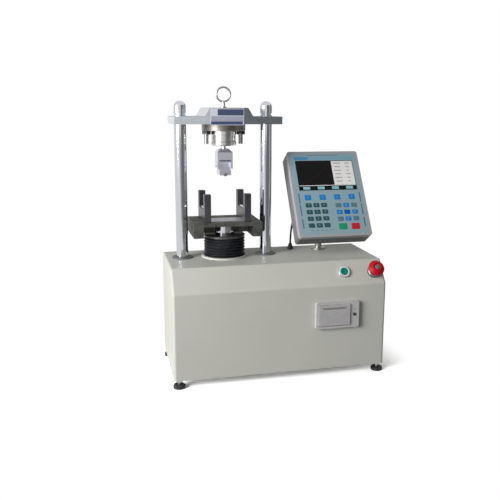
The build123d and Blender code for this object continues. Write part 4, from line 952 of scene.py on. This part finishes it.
    def softbox(self, name: str, place: Triple, size: Pair, power: float, mirrored: bool = True) -> None:
        """Makes a soft lamp that faces the object.

        Args:
            name: Name of the lamp.
            place: Its place.
            size: Its width and height.
            power: Its power in watts.
            mirrored: False for a lamp that reflections leave out.
        """
        data = bpy.data.lights.new(name, "AREA")
        data.shape = "RECTANGLE"
        data.size, data.size_y = size
        data.energy = power
        lamp = placed(name, data)
        lamp.visible_glossy = mirrored
        lamp.location = place
        facing = Vector(self.aim) - Vector(place)
        lamp.rotation_euler = facing.to_track_quat("-Z", "Y").to_euler()

    def card(self, name: str, place: Triple, size: Pair, tone: float) -> None:
        """Makes a dark card that only reflections show.

        Args:
            name: Name of the card.
            place: Its middle.
            size: Its width and height.
            tone: Its grey.
        """
        mesh = rectangle(name, size)
        card = placed(name, mesh)
        card.location = place
        facing = Vector((*self.aim[:2], place[2])) - Vector(place)
        card.rotation_euler = facing.to_track_quat("Z", "Y").to_euler()
        material = blank_material(name)
        nodes, links = material.node_tree.nodes, material.node_tree.links
        grey = nodes.new("ShaderNodeEmission")
        grey.inputs["Color"].default_value = (tone, tone, tone, 1.0)
        links.new(grey.outputs["Emission"], nodes["Material Output"].inputs["Surface"])
        mesh.materials.append(material)
        card.visible_camera = False
        card.visible_diffuse = False
        card.visible_shadow = False
        card.visible_transmission = False


def seen_directly(nodes: bpy.types.Nodes, links: bpy.types.NodeLinks) -> bpy.types.NodeSocket:
    """Value that is 1 for what the camera sees directly, in a reflection or through glass.

    Args:
        nodes: Nodes of the tree.
        links: Links of the tree.

    Returns:
        The value.
    """
    path = nodes.new("ShaderNodeLightPath")
    result = path.outputs["Is Camera Ray"]
    for other in ("Is Glossy Ray", "Is Transmission Ray"):
        larger = nodes.new("ShaderNodeMath")
        larger.operation = "MAXIMUM"
        links.new(result, larger.inputs[0])
        links.new(path.outputs[other], larger.inputs[1])
        result = larger.outputs["Value"]
    return result


@dataclass
class Bellows:
    """Rubber bellows between the cabinet and the rising ram."""

    crest: float = 0.0522
    root: float = 0.0465
    wall: float = 0.0016
    folds: int = 6
    steps: int = 8
    cuff: float = 0.0018
    fold_power: float = 0.6
    segments: int = 96
    crease: float = 50.0

    def build(self, finishes: Finishes) -> None:
        """Makes the bellows' folds in place of the imported bellows.

        Args:
            finishes: The tester's finishes.
        """
        low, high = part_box("bellows")
        middle = (low + high) / 2
        height = high.z - low.z
        outside = [(self.crest, 0.0), (self.crest, self.cuff)]
        pitch = (height - 2 * self.cuff) / self.folds
        for fold in range(self.folds):
            for step in range(self.steps):
                share = (step + 0.5) / self.steps
                wave = -math.cos(2 * math.pi * share)
                shaped = math.copysign(abs(wave) ** self.fold_power, wave)
                radius = (self.crest + self.root) / 2 + shaped * (self.crest - self.root) / 2
                outside.append((radius, self.cuff + (fold + share) * pitch))
        outside += [(self.root, height - self.cuff), (self.root, height)]
        inside = [(radius - self.wall, level) for radius, level in reversed(outside)]
        profile = outside + inside
        place = Matrix.Translation((middle.x, middle.y, low.z))
        sketch = Sketch().lathe(profile, self.segments, looped=True)
        piece = sketch.piece("bellows_folds", place, finishes.rubber, None, self.crease)
        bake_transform(piece)
        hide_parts("bellows")


@dataclass
class Crosshead:
    """Printed plate of the crosshead, with plain bands in place of words."""

    ink: float = 0.0002
    sunk: float = -0.0001
    corner: float = 0.0008
    band_left: float = 0.017
    band_right: float = 0.0012
    field_inset: float = 0.0015
    band: Pair = (0.0015, 0.0160)
    field: Pair = (0.0175, 0.0305)
    stripe: Pair = (0.0300, 0.0372)
    stripe_ends: Pair = (0.0012, 0.0030)

    def build(self, finishes: Finishes) -> None:
        """Makes the bands of the plate.

        Args:
            finishes: The tester's finishes.
        """
        low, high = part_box("crosshead_label")
        place = leaning((low.x, low.y, high.z), 0.0)
        width = high.x - low.x
        bands = (
            ("label_band", (self.band_left, width - self.band_right), self.band, finishes.label_blue),
            ("label_field", (self.field_inset, width - self.field_inset), self.field,
             finishes.label_grey),
            ("label_stripe", (self.stripe_ends[0], width - self.stripe_ends[1]), self.stripe,
             finishes.label_blue),
        )
        for name, (left, right), (top, bottom), finish in bands:
            centre = ((left + right) / 2, -(top + bottom) / 2)
            size = (right - left, bottom - top)
            sketch = Sketch().plate(centre, size, self.corner, [(0, self.sunk), (0, self.ink)])
            sketch.piece(name, place, finish, "cabinet")


@dataclass
class PushButtons:
    """Cap of the start button and head of the emergency stop."""

    slope_rise: float = 0.054
    slope_run: float = 0.042
    break_height: float = 0.230
    start_place: Pair = (0.160, 0.0355)
    stop_place: Pair = (0.238, 0.032)
    cap_radius: float = 0.0097
    cap_low: float = 0.0005
    cap_top: float = 0.0075
    cap_dish: float = 0.0008
    cap_stem: float = 0.0070
    cap_tail: float = -0.0085
    cap_rim: float = 0.0011
    head_radius: float = 0.020
    head_low: float = 0.018
    head_top: float = 0.033
    head_edge: float = 0.006
    head_dish: float = 0.0022
    head_stem: float = 0.0080
    head_tail: float = -0.0070
    head_steps: int = 10
    dish_share: float = 0.52
    centre_radius: float = 0.0058
    pole: float = 0.0006

    def place(self, spot: Pair) -> Matrix:
        """Frame on the sloping panel.

        Args:
            spot: X, and the distance up the slope.

        Returns:
            The frame, with Z out of the panel.
        """
        lean = math.atan2(self.slope_run, self.slope_rise)
        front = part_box("cabinet_shell")[0].y
        y = front + spot[1] * math.sin(lean)
        z = self.break_height + spot[1] * math.cos(lean)
        return leaning((spot[0], y, z), lean)

    def build(self, finishes: Finishes) -> None:
        """Makes both buttons.

        Args:
            finishes: The tester's finishes.
        """
        rim, radius, top = self.cap_rim, self.cap_radius, self.cap_top
        cap = [
            (self.cap_stem, self.cap_tail), (self.cap_stem, self.cap_low), (radius, self.cap_low),
            (radius, top - rim), (radius - 0.3 * rim, top - 0.3 * rim), (radius - rim, top),
            (radius - 1.6 * rim, top - 0.1 * rim), (radius * 0.5, top - 0.75 * self.cap_dish),
            (self.pole, top - self.cap_dish),
        ]
        piece = Sketch().lathe(cap).piece("start_cap", self.place(self.start_place), finishes.green,
                                          "start_button")
        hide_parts("start_button")
        self.stop_head(finishes)

    def crown(self, radius: float) -> float:
        """Height of the stop head's domed face.

        Args:
            radius: Distance from the head's middle.

        Returns:
            The height over the panel.
        """
        rim = self.head_low + self.head_edge
        rise = self.head_top - rim
        ball = (self.head_radius ** 2 + rise ** 2) / (2 * rise)
        return self.head_top - ball + math.sqrt(ball ** 2 - radius ** 2)

    def stop_head(self, finishes: Finishes) -> None:
        """Makes the mushroom head with the dish and centre of its face.

        Args:
            finishes: The tester's finishes.
        """
        place = self.place(self.stop_place)
        dish_radius = self.head_radius * self.dish_share
        profile = [
            (self.head_stem, self.head_tail), (self.head_stem, self.head_low - 0.002),
            (self.head_stem + 0.003, self.head_low), (self.head_radius - 0.0012, self.head_low + 0.0012),
            (self.head_radius, self.head_low + 0.0026), (self.head_radius, self.head_low + self.head_edge),
        ]
        for step in range(1, self.head_steps + 1):
            radius = self.head_radius - (self.head_radius - dish_radius) * step / self.head_steps
            profile.append((radius, self.crown(radius)))
        floor = self.crown(dish_radius) - self.head_dish
        profile += [
            (dish_radius - 0.0005, self.crown(dish_radius) - 0.0001),
            (dish_radius - 0.0011, floor + 0.25 * self.head_dish),
            (dish_radius - 0.0024, floor), (self.pole, floor),
        ]
        head = Sketch().lathe(profile, 72).piece("stop_mushroom", place, finishes.red, "stop_head", 28.0)
        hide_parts("stop_head")
        centre = [(self.centre_radius, floor - 0.0004), (self.centre_radius, floor + 0.0012),
                  (self.centre_radius - 0.0006, floor + 0.0018), (self.pole, floor + 0.0020)]
        piece = Sketch().lathe(centre, 48).piece("stop_centre", place, finishes.centre, "stop_head")


@dataclass
class ControlUnit:
    """Keypad film, keys, display and lead of the control unit, in the frame of its face."""

    lean: float = math.radians(32.5)
    reach: float = 0.070
    offset: float = 0.007
    film: Pair = (0.180, 0.228)
    film_thickness: float = 0.0008
    film_corner: float = 0.003
    film_proud: float = 0.00005
    window_gap: float = 0.0006
    window_corner: float = 0.0012
    screen: Pair = (0.1570, 0.0855)
    screen_centre: Pair = (0.0005, 0.0505)
    glass_depth: float = 0.00035
    screen_split: float = 0.0195
    pane_foot: float = 0.0150
    pane_gap: float = 0.0015
    foot_line: float = 0.0016
    ink: float = 0.0001
    row_count: int = 6
    row_top: float = 0.008
    row_pitch: float = 0.0105
    row_height: float = 0.0026
    grid_columns: int = 9
    grid_rows: int = 7
    grid_line: float = 0.0003
    graph_margin: float = 0.006
    trace_margin: float = 0.014
    trace_steps: int = 28
    trace_half: float = 0.00022
    trace_break: float = 0.9
    label_count: int = 4
    label_pitch: float = 0.0388
    label_size: Pair = (0.0185, 0.0080)
    label_rise: float = 0.0066
    side_rule: float = 0.0820
    side_rule_width: float = 0.0034
    side_rules: tuple[Pair, ...] = ((-0.014, 0.028), (-0.048, 0.030), (-0.084, 0.026))
    head_rule: Pair = (0.088, 0.0014)
    head_rule_y: float = 0.1090
    foot_rule: Pair = (0.0075, 0.0013)
    foot_rule_start: Pair = (-0.0600, -0.1030)
    foot_rule_pitch: float = 0.0125
    foot_rule_count: int = 5
    number_columns: Triple = (-0.0605, -0.0400, -0.0195)
    number_rows: tuple[float, ...] = (-0.0340, -0.0525, -0.0710, -0.0895)
    function_columns: tuple[float, ...] = (-0.0595, -0.0202, 0.0192, 0.0587)
    function_row: float = -0.0125
    arrow_columns: Triple = (0.0185, 0.0395, 0.0605)
    arrow_rows: Triple = (-0.0360, -0.0550, -0.0735)
    start_key: Pair = (0.0215, -0.0945)
    stop_key: Pair = (0.0555, -0.0950)
    small_key: Pair = (0.0160, 0.0120)
    function_key: Pair = (0.0170, 0.0150)
    large_key: Pair = (0.0220, 0.0170)
    key_radius: float = 0.0022
    key_rise: float = 0.0007
    figures: tuple[str, ...] = ("789", "456", "123", ".0-")
    figure_size: float = 0.0078
    number_size: float = 0.0095
    arrow_tip: float = 0.0040
    arrow_tail: float = 0.0034
    arrow_spread: float = 2.2
    band: tuple[float, ...] = (-0.0800, -0.0420, 0.0830)
    band_rows: Pair = (0.0955, 0.1045)
    band_corner: float = 0.0008
    band_rise: float = 0.00012
    lead_radius: float = 0.0025

    def place(self) -> Matrix:
        """Frame at the middle of the face.

        Returns:
            The frame, with Z out of the face.
        """
        hinge = joint_place("unit_tilt")
        y = hinge.y - self.reach * math.cos(self.lean)
        z = hinge.z + self.reach * math.sin(self.lean)
        return leaning((hinge.x + self.offset, y, z), self.lean)

    def build(self, finishes: Finishes) -> None:
        """Makes every piece of the face and the lead.

        Args:
            finishes: The tester's finishes.
        """
        place = self.place()
        self.membrane(finishes, place)
        self.keys(finishes, place)
        self.legends(finishes, place)
        self.display(finishes, place)
        self.lead(finishes)

    def membrane(self, finishes: Finishes, place: Matrix) -> None:
        """Makes the film with its window and the printed band over the display.

        Args:
            finishes: The tester's finishes.
            place: Frame of the face.
        """
        outer = rounded_outline(*self.film, self.film_corner)
        hole = (self.screen[0] + self.window_gap, self.screen[1] + self.window_gap)
        inner = [(x + self.screen_centre[0], y + self.screen_centre[1])
                 for x, y in rounded_outline(*hole, self.window_corner)]
        low, high = -self.film_thickness, self.film_proud
        rings = [[(x, y, low) for x, y in outer], [(x, y, high) for x, y in outer],
                 [(x, y, high) for x, y in inner], [(x, y, low) for x, y in inner]]
        film = Sketch().loft(rings, looped=True).piece("keypad_film", place, finishes.film, "control_unit")
        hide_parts("control_keypad")
        bottom, top = self.band_rows
        for name, left, right, finish in (
            ("band_left", self.band[0], self.band[1], finishes.band_blue),
            ("band_right", self.band[1], self.band[2], finishes.band_light),
        ):
            centre = ((left + right) / 2, (bottom + top) / 2)
            sketch = Sketch().plate(centre, (right - left, top - bottom), self.band_corner,
                                    [(0, 0), (0, self.band_rise)])
            sketch.piece(name, place, finish, "control_unit")
        self.rules(finishes, place)

    def rules(self, finishes: Finishes, place: Matrix) -> None:
        """Makes the thin plain rules down both sides, over the band and under the figures.

        Args:
            finishes: The tester's finishes.
            place: Frame of the face.
        """
        levels = [(0, 0), (0, self.ink)]
        sketch = Sketch()
        for x in (-self.side_rule, self.side_rule):
            for y, length in self.side_rules:
                sketch.plate((x, y), (self.side_rule_width, length), 0.0005, levels)
        sketch.plate((0.0, self.head_rule_y), self.head_rule, 0.0004, levels)
        start, y = self.foot_rule_start
        for column in range(self.foot_rule_count):
            sketch.plate((start + self.foot_rule_pitch * column, y), self.foot_rule, 0.0004, levels)
        sketch.piece("film_rules", place, finishes.rule, "control_unit")

    def arrow_spots(self) -> list[Pair]:
        """Places of the four arrow keys.

        Returns:
            The places beside, over and under the middle key.
        """
        return [(x, y) for x in self.arrow_columns for y in self.arrow_rows
                if (x == self.arrow_columns[1]) != (y == self.arrow_rows[1])]

    def key_levels(self) -> list[Pair]:
        """Inset and height of a crowned key's rings."""
        rise = self.key_rise
        return [(0, 0), (0, 0.45 * rise), (0.0003, 0.8 * rise), (0.0009, rise), (0.0022, 1.12 * rise)]

    def keys(self, finishes: Finishes, place: Matrix) -> None:
        """Makes the raised keys, one piece for each colour.

        Args:
            finishes: The tester's finishes.
            place: Frame of the face.
        """
        corners = [(x, y) for x in self.arrow_columns for y in self.arrow_rows
                   if x != self.arrow_columns[1] and y != self.arrow_rows[1]]
        numbers = [(x, y) for x in self.number_columns for y in self.number_rows]
        functions = [(x, self.function_row) for x in self.function_columns]
        sets = (
            ("keys_number", numbers, self.small_key, finishes.key_teal),
            ("keys_function", functions, self.function_key, finishes.key_blue),
            ("keys_arrow", self.arrow_spots(), self.small_key, finishes.key_blue),
            ("keys_corner", corners, self.small_key, finishes.key_faded),
            ("key_enter", [(self.arrow_columns[1], self.arrow_rows[1])], self.small_key, finishes.key_navy),
            ("key_start", [self.start_key], self.large_key, finishes.key_green),
            ("key_stop", [self.stop_key], self.large_key, finishes.key_red),
        )
        for name, centres, size, finish in sets:
            sketch = Sketch()
            for centre in centres:
                sketch.plate(centre, size, self.key_radius, self.key_levels())
            sketch.piece(name, place, finish, "control_unit")

    def legends(self, finishes: Finishes, place: Matrix) -> None:
        """Makes the figures of the number and function keys, and the arrows.

        Args:
            finishes: The tester's finishes.
            place: Frame of the face.
        """
        low, high = self.key_rise, 1.25 * self.key_rise
        sketch = Sketch()
        for row, line in zip(self.number_rows, self.figures):
            for column, figure in zip(self.number_columns, line):
                sketch.lettering(figure, (column, row), self.figure_size, low, high)
        for number, column in enumerate(self.function_columns, 1):
            sketch.lettering(str(number), (column, self.function_row), self.number_size, low, high)
        for x, y in self.arrow_spots():
            turn = math.atan2(y - self.arrow_rows[1], x - self.arrow_columns[1])
            self.arrow(sketch, (x, y), turn, low, high)
        sketch.piece("key_legends", place, finishes.legend, "control_unit")

    def arrow(self, sketch: Sketch, centre: Pair, turn: float, low: float, high: float) -> None:
        """Adds a solid triangle that points away from the middle key.

        Args:
            sketch: Sketch that gets it.
            centre: Its place.
            turn: Direction in radians.
            low: Height of its foot.
            high: Height of its face.
        """
        corners = []
        for radius, angle in ((self.arrow_tip, 0.0), (self.arrow_tail, self.arrow_spread),
                              (self.arrow_tail, -self.arrow_spread)):
            corners.append((centre[0] + radius * math.cos(turn + angle),
                            centre[1] + radius * math.sin(turn + angle)))
        sketch.loft([[(x, y, level) for x, y in corners] for level in (low, high)])

    def display(self, finishes: Finishes, place: Matrix) -> None:
        """Makes the display: a dark graph with a trace, a pale pane with rows, and soft labels.

        Args:
            finishes: The tester's finishes.
            place: Frame of the face.
        """
        low = -self.glass_depth
        ink = [(0, low), (0, low + self.ink)]
        over = [(0, low + self.ink), (0, low + 2 * self.ink)]
        panel = Sketch().plate(self.screen_centre, self.screen, self.window_corner,
                               [(0, -self.film_thickness), (0, low)])
        areas = (
            ("screen_panel", panel, finishes.screen_black),
            ("screen_pane", self.pane(ink), finishes.screen_white),
            ("screen_rows", self.rows(over), finishes.screen_grey),
            ("screen_grid", self.grid(ink), finishes.screen_grid),
            ("screen_trace", self.trace(over), finishes.screen_trace),
            ("screen_labels", self.labels(ink), finishes.screen_cyan),
        )
        for name, sketch, finish in areas:
            sketch.piece(name, place, finish, "control_unit")

    def screen_box(self) -> tuple[float, float, float, float]:
        """Edges of the display.

        Returns:
            Its left, right, bottom and top.
        """
        (x, y), (width, height) = self.screen_centre, self.screen
        return x - width / 2, x + width / 2, y - height / 2, y + height / 2

    def pane(self, levels: list[Pair]) -> Sketch:
        """Makes the pale pane and the line under the graph.

        Args:
            levels: Inset and height of the ink's foot and face.

        Returns:
            The sketch of both.
        """
        left, right, bottom, top = self.screen_box()
        split, foot, gap = self.screen_split, bottom + self.pane_foot, self.pane_gap
        centre = ((split + right - gap) / 2, (foot + top - gap) / 2)
        sketch = Sketch().plate(centre, (right - split - gap, top - foot - gap), 0.0004, levels)
        line = (right - left - 0.003, self.foot_line)
        return sketch.plate(((left + right) / 2, foot - 0.0013), line, 0.0003, levels)

    def rows(self, levels: list[Pair]) -> Sketch:
        """Makes the pane's rows, each a long mark and a short one of uneven lengths.

        Args:
            levels: Inset and height of the ink's foot and face.

        Returns:
            The sketch of the rows.
        """
        top, split = self.screen_box()[3], self.screen_split
        sketch = Sketch()
        for row in range(self.row_count):
            y = top - self.row_top - row * self.row_pitch
            for x, length in ((split + 0.015, 0.020 - 0.004 * (row % 2)),
                              (split + 0.043, 0.012 - 0.003 * (row % 3))):
                sketch.plate((x, y), (length, self.row_height), 0.0004, levels)
        return sketch

    def grid(self, levels: list[Pair]) -> Sketch:
        """Makes the thin lines behind the trace.

        Args:
            levels: Inset and height of the ink's foot and face.

        Returns:
            The sketch of the lines.
        """
        left, _, bottom, top = self.screen_box()
        foot = bottom + self.pane_foot
        width, height = self.screen_split - left, top - foot
        sketch = Sketch()
        for column in range(1, self.grid_columns):
            x = left + width * column / self.grid_columns
            size = (self.grid_line, height - self.graph_margin)
            sketch.plate((x, foot + height / 2), size, 0.0001, levels)
        for row in range(1, self.grid_rows):
            y = foot + height * row / self.grid_rows
            size = (width - self.graph_margin, self.grid_line)
            sketch.plate((left + width / 2, y), size, 0.0001, levels)
        return sketch

    def labels(self, levels: list[Pair]) -> Sketch:
        """Makes the soft labels along the display's lower edge.

        Args:
            levels: Inset and height of the ink's foot and face.

        Returns:
            The sketch of the labels.
        """
        bottom = self.screen_box()[2]
        sketch = Sketch()
        for column in range(self.label_count):
            x = self.screen_centre[0] + (column - (self.label_count - 1) / 2) * self.label_pitch
            sketch.plate((x, bottom + self.label_rise), self.label_size, 0.0006, levels)
        return sketch

    def trace(self, levels: list[Pair]) -> Sketch:
        """Makes the curve of load over time, which rises and then breaks off.

        Args:
            levels: Inset and height of the line's foot and face.

        Returns:
            The sketch of the curve.
        """
        left, _, bottom, top = self.screen_box()
        foot = bottom + self.pane_foot
        width = self.screen_split - left - self.trace_margin
        height = top - foot - self.trace_margin
        upper, lower = [], []
        for step in range(self.trace_steps + 1):
            share = step / self.trace_steps
            past = share - self.trace_break
            rise = share ** 1.7 if past < 0 else 0.84 - 6.0 * past
            x = left + self.graph_margin + width * share
            y = foot + self.graph_margin + height * max(0.02, rise)
            upper.append((x, y + self.trace_half))
            lower.append((x, y - self.trace_half))
        outline = lower + upper[::-1]
        return Sketch().loft([[(x, y, level) for x, y in outline] for _, level in levels])

    def lead(self, finishes: Finishes) -> None:
        """Makes the lead between the gland and the hinge.

        Args:
            finishes: The tester's finishes.
        """
        route = [
            (0.0730, 0.0810, 0.3000), (0.0735, 0.0810, 0.3250), (0.0780, 0.0812, 0.3540),
            (0.0850, 0.0770, 0.3830), (0.0995, 0.0708, 0.4015), (0.1167, 0.0690, 0.4050),
            (0.1327, 0.0690, 0.4050),
        ]
        curve = bpy.data.curves.new("unit_lead", "CURVE")
        curve.dimensions = "3D"
        curve.bevel_depth = self.lead_radius
        curve.bevel_resolution = 6
        curve.use_fill_caps = True
        curve.resolution_u = 12
        spline = curve.splines.new("NURBS")
        spline.points.add(len(route) - 1)
        for point, spot in zip(spline.points, route):
            point.co = (*spot, 1.0)
        spline.order_u = 3
        spline.use_endpoint_u = True
        curve.materials.append(finishes.sheath)
        lead = placed("unit_lead", curve)
        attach(lead, "cabinet")
        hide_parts("control_cable")


@dataclass
class Printer:
    """Small parts of the panel printer."""

    slot_from_top: float = 0.007
    slot_width: float = 0.060
    teeth: int = 40
    tear_bottom: float = -0.0042
    tear_root: float = -0.0006
    tear_tip: float = 0.0001
    tear_levels: Pair = (-0.0009, 0.00002)
    paper_inset: float = 0.003
    paper_thickness: float = 0.00025
    lamp_rise: float = 0.009

    def build(self, finishes: Finishes) -> None:
        """Makes the tear bar, the paper's edge and the lamp.

        Args:
            finishes: The tester's finishes.
        """
        low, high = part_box("printer_door")
        roll = joint_place("paper_roll_spin")
        place = leaning((roll.x, low.y, high.z - self.slot_from_top), 0.0)
        half = self.slot_width / 2
        step = self.slot_width / self.teeth
        points = []
        for tooth in range(self.teeth):
            x = -half + tooth * step
            points += [(x, self.tear_root), (x + step / 2, self.tear_tip)]
        outline = [(-half, self.tear_bottom), (half, self.tear_bottom), (half, self.tear_root)]
        outline += reversed(points)
        bar = Sketch().loft([[(x, y, level) for x, y in outline] for level in self.tear_levels])
        bar.piece("tear_bar", place, finishes.flange, "printer_door")
        sheet = (self.slot_width - self.paper_inset, self.paper_thickness)
        paper = Sketch().plate((0, 0.0003), sheet, 0.0001, [(0, -0.0070), (0, -0.0001)])
        paper.piece("paper_edge", place, finishes.paper, "printer_door")
        key_low, key_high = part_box("feed_key")
        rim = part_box("printer_housing")[0].y
        lamp_place = leaning(((key_low.x + key_high.x) / 2, rim, key_high.z + self.lamp_rise), 0.0)
        lamp = Sketch().lathe([(0.0016, -0.0005), (0.0016, 0.0004), (0.0011, 0.0010), (0.0003, 0.0012)], 32)
        lamp.piece("printer_lamp", lamp_place, finishes.lamp, "cabinet")


@dataclass
class Casework:
    """Pressed hoods over the louvres, socket screws of the rear cover and the inlet's contacts."""

    louvre_length: float = 0.060
    louvre_height: float = 0.004
    louvre_pitch: float = 0.011
    louvre_count: int = 7
    louvre_spacing: float = 0.150
    hood_reach: float = 0.0032
    hood_wall: float = 0.0008
    hood_rise: float = 0.0022
    hood_columns: int = 18
    hood_steps: int = 6
    hood_crease: float = 60.0
    screw_radius: float = 0.004
    screw_proud: float = 0.0024
    screw_x: float = 0.252
    screw_rows: Triple = (0.033, 0.152, 0.271)
    screw_profile: tuple[Pair, ...] = ((1.0, 0.0), (1.0, 0.25), (0.94, 0.62), (0.78, 0.9), (0.6, 1.0))
    screw_segments: int = 48
    socket_share: float = 0.42
    socket_floor: float = 0.35
    inlet_drop: float = 0.013
    contact_size: Pair = (0.0023, 0.0043)
    contact_places: tuple[Pair, ...] = ((-0.007, 0.0), (0.0, 0.002), (0.007, 0.0))
    contact_levels: tuple[Pair, ...] = ((0, -0.0178), (0, -0.0065), (0.0004, -0.0058))

    def build(self, finishes: Finishes) -> None:
        """Makes the pieces of the rear.

        Args:
            finishes: The tester's finishes.
        """
        self.hoods(finishes)
        self.screws(finishes)
        self.contacts(finishes)

    def hoods(self, finishes: Finishes) -> None:
        """Makes a rounded hood over each louvre, open below.

        Args:
            finishes: The tester's finishes.
        """
        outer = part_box("rear_cover")[1].y
        shell_low, shell_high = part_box("cabinet_shell")
        middle = (shell_low.z + shell_high.z) / 2
        sketch = Sketch()
        for side in (-1, 1):
            for row in range(self.louvre_count):
                z = middle + (row - (self.louvre_count - 1) / 2) * self.louvre_pitch
                self.hood(sketch, side * self.louvre_spacing / 2, outer, z)
        hoods = sketch.piece("louvre_hoods", Matrix(), finishes.cabinet, "cabinet", self.hood_crease)

    def hood(self, sketch: Sketch, x: float, y: float, z: float) -> None:
        """Adds one hood.

        Args:
            sketch: Sketch that gets it.
            x: Middle of the louvre.
            y: Outer face of the cover.
            z: Middle of the louvre.
        """
        half, foot = self.louvre_length / 2, self.louvre_height / 2
        top = foot + self.hood_rise
        rings = []
        for column in range(self.hood_columns + 1):
            share = 2 * column / self.hood_columns - 1
            along = half * math.sin(share * math.pi / 2)
            full = max(0.03, math.sqrt(max(0.0, 1 - abs(share) ** 6)))
            outer = []
            for step in range(self.hood_steps + 1):
                turn = math.pi / 2 * step / self.hood_steps
                outer.append((self.hood_reach * full * math.sin(turn),
                              -foot + (top + foot) * full * math.cos(turn)))
            inner = [(reach * (1 - self.hood_wall / self.hood_reach) - 0.0001,
                      level - self.hood_wall * (level > 0)) for reach, level in reversed(outer)]
            rings.append([(x + along, y + reach, z + level) for reach, level in outer + inner])
        sketch.loft(rings)

    def screws(self, finishes: Finishes) -> None:
        """Makes domed screw heads with a hexagon socket.

        Args:
            finishes: The tester's finishes.
        """
        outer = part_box("rear_cover")[1].y
        sketch = Sketch()
        sides = (-1, 1)
        spots = [(side * self.screw_x, z) for z in self.screw_rows for side in sides]
        spots += [(side * self.screw_x / 3, z) for z in self.screw_rows[::2] for side in sides]
        for x, z in spots:
            rings = [circle(self.screw_radius * share, self.screw_proud * level, self.screw_segments)
                     for share, level in self.screw_profile]
            for level in (1.0, self.socket_floor):
                socket = []
                for px, py, _ in circle(1.0, 0.0, self.screw_segments):
                    turn = math.atan2(py, px) % (math.pi / 3) - math.pi / 6
                    radius = self.socket_share * self.screw_radius / math.cos(turn)
                    socket.append((radius * px, radius * py, self.screw_proud * level))
                rings.append(socket)
            sketch.loft([[(x - px, outer + pz, z + py) for px, py, pz in ring] for ring in rings])
        piece = sketch.piece("cover_screw_heads", Matrix(), finishes.zinc, "cabinet", 30.0)
        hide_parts("case_screws")

    def contacts(self, finishes: Finishes) -> None:
        """Makes the brass sleeves over the inlet's three pins.

        Args:
            finishes: The tester's finishes.
        """
        low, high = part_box("power_inlet")
        middle = (low + high) / 2
        sketch = Sketch()
        for spot in self.contact_places:
            sketch.plate(spot, self.contact_size, 0.0004, self.contact_levels)
        turn = Matrix(((-1, 0, 0), (0, 0, 1), (0, 1, 0))).to_4x4()
        place = Matrix.Translation((middle.x, high.y, middle.z - self.inlet_drop)) @ turn
        sketch.piece("inlet_contacts", place, finishes.brass, "cabinet")


def dress_nodes(finishes: Finishes) -> None:
    """Gives every carried-over node its finish.

    Args:
        finishes: The tester's finishes.
    """
    for finish, names in NODE_FINISHES.items():
        for name in names:
            for slot in frame["nodes"][name].material_slots:
                slot.material = getattr(finishes, finish)


def main() -> None:
    """Builds the studio and every sub-assembly in order."""
    logging.basicConfig(level=logging.INFO, format="%(name)s %(message)s")
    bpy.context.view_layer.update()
    Studio().build()
    finishes = Finishes()
    dress_nodes(finishes)
    for assembly in (Bellows(), Crosshead(), PushButtons(), ControlUnit(), Printer(), Casework()):
        assembly.build(finishes)
        log.info("built %s", type(assembly).__name__)


if __name__ == "__main__":
    main()
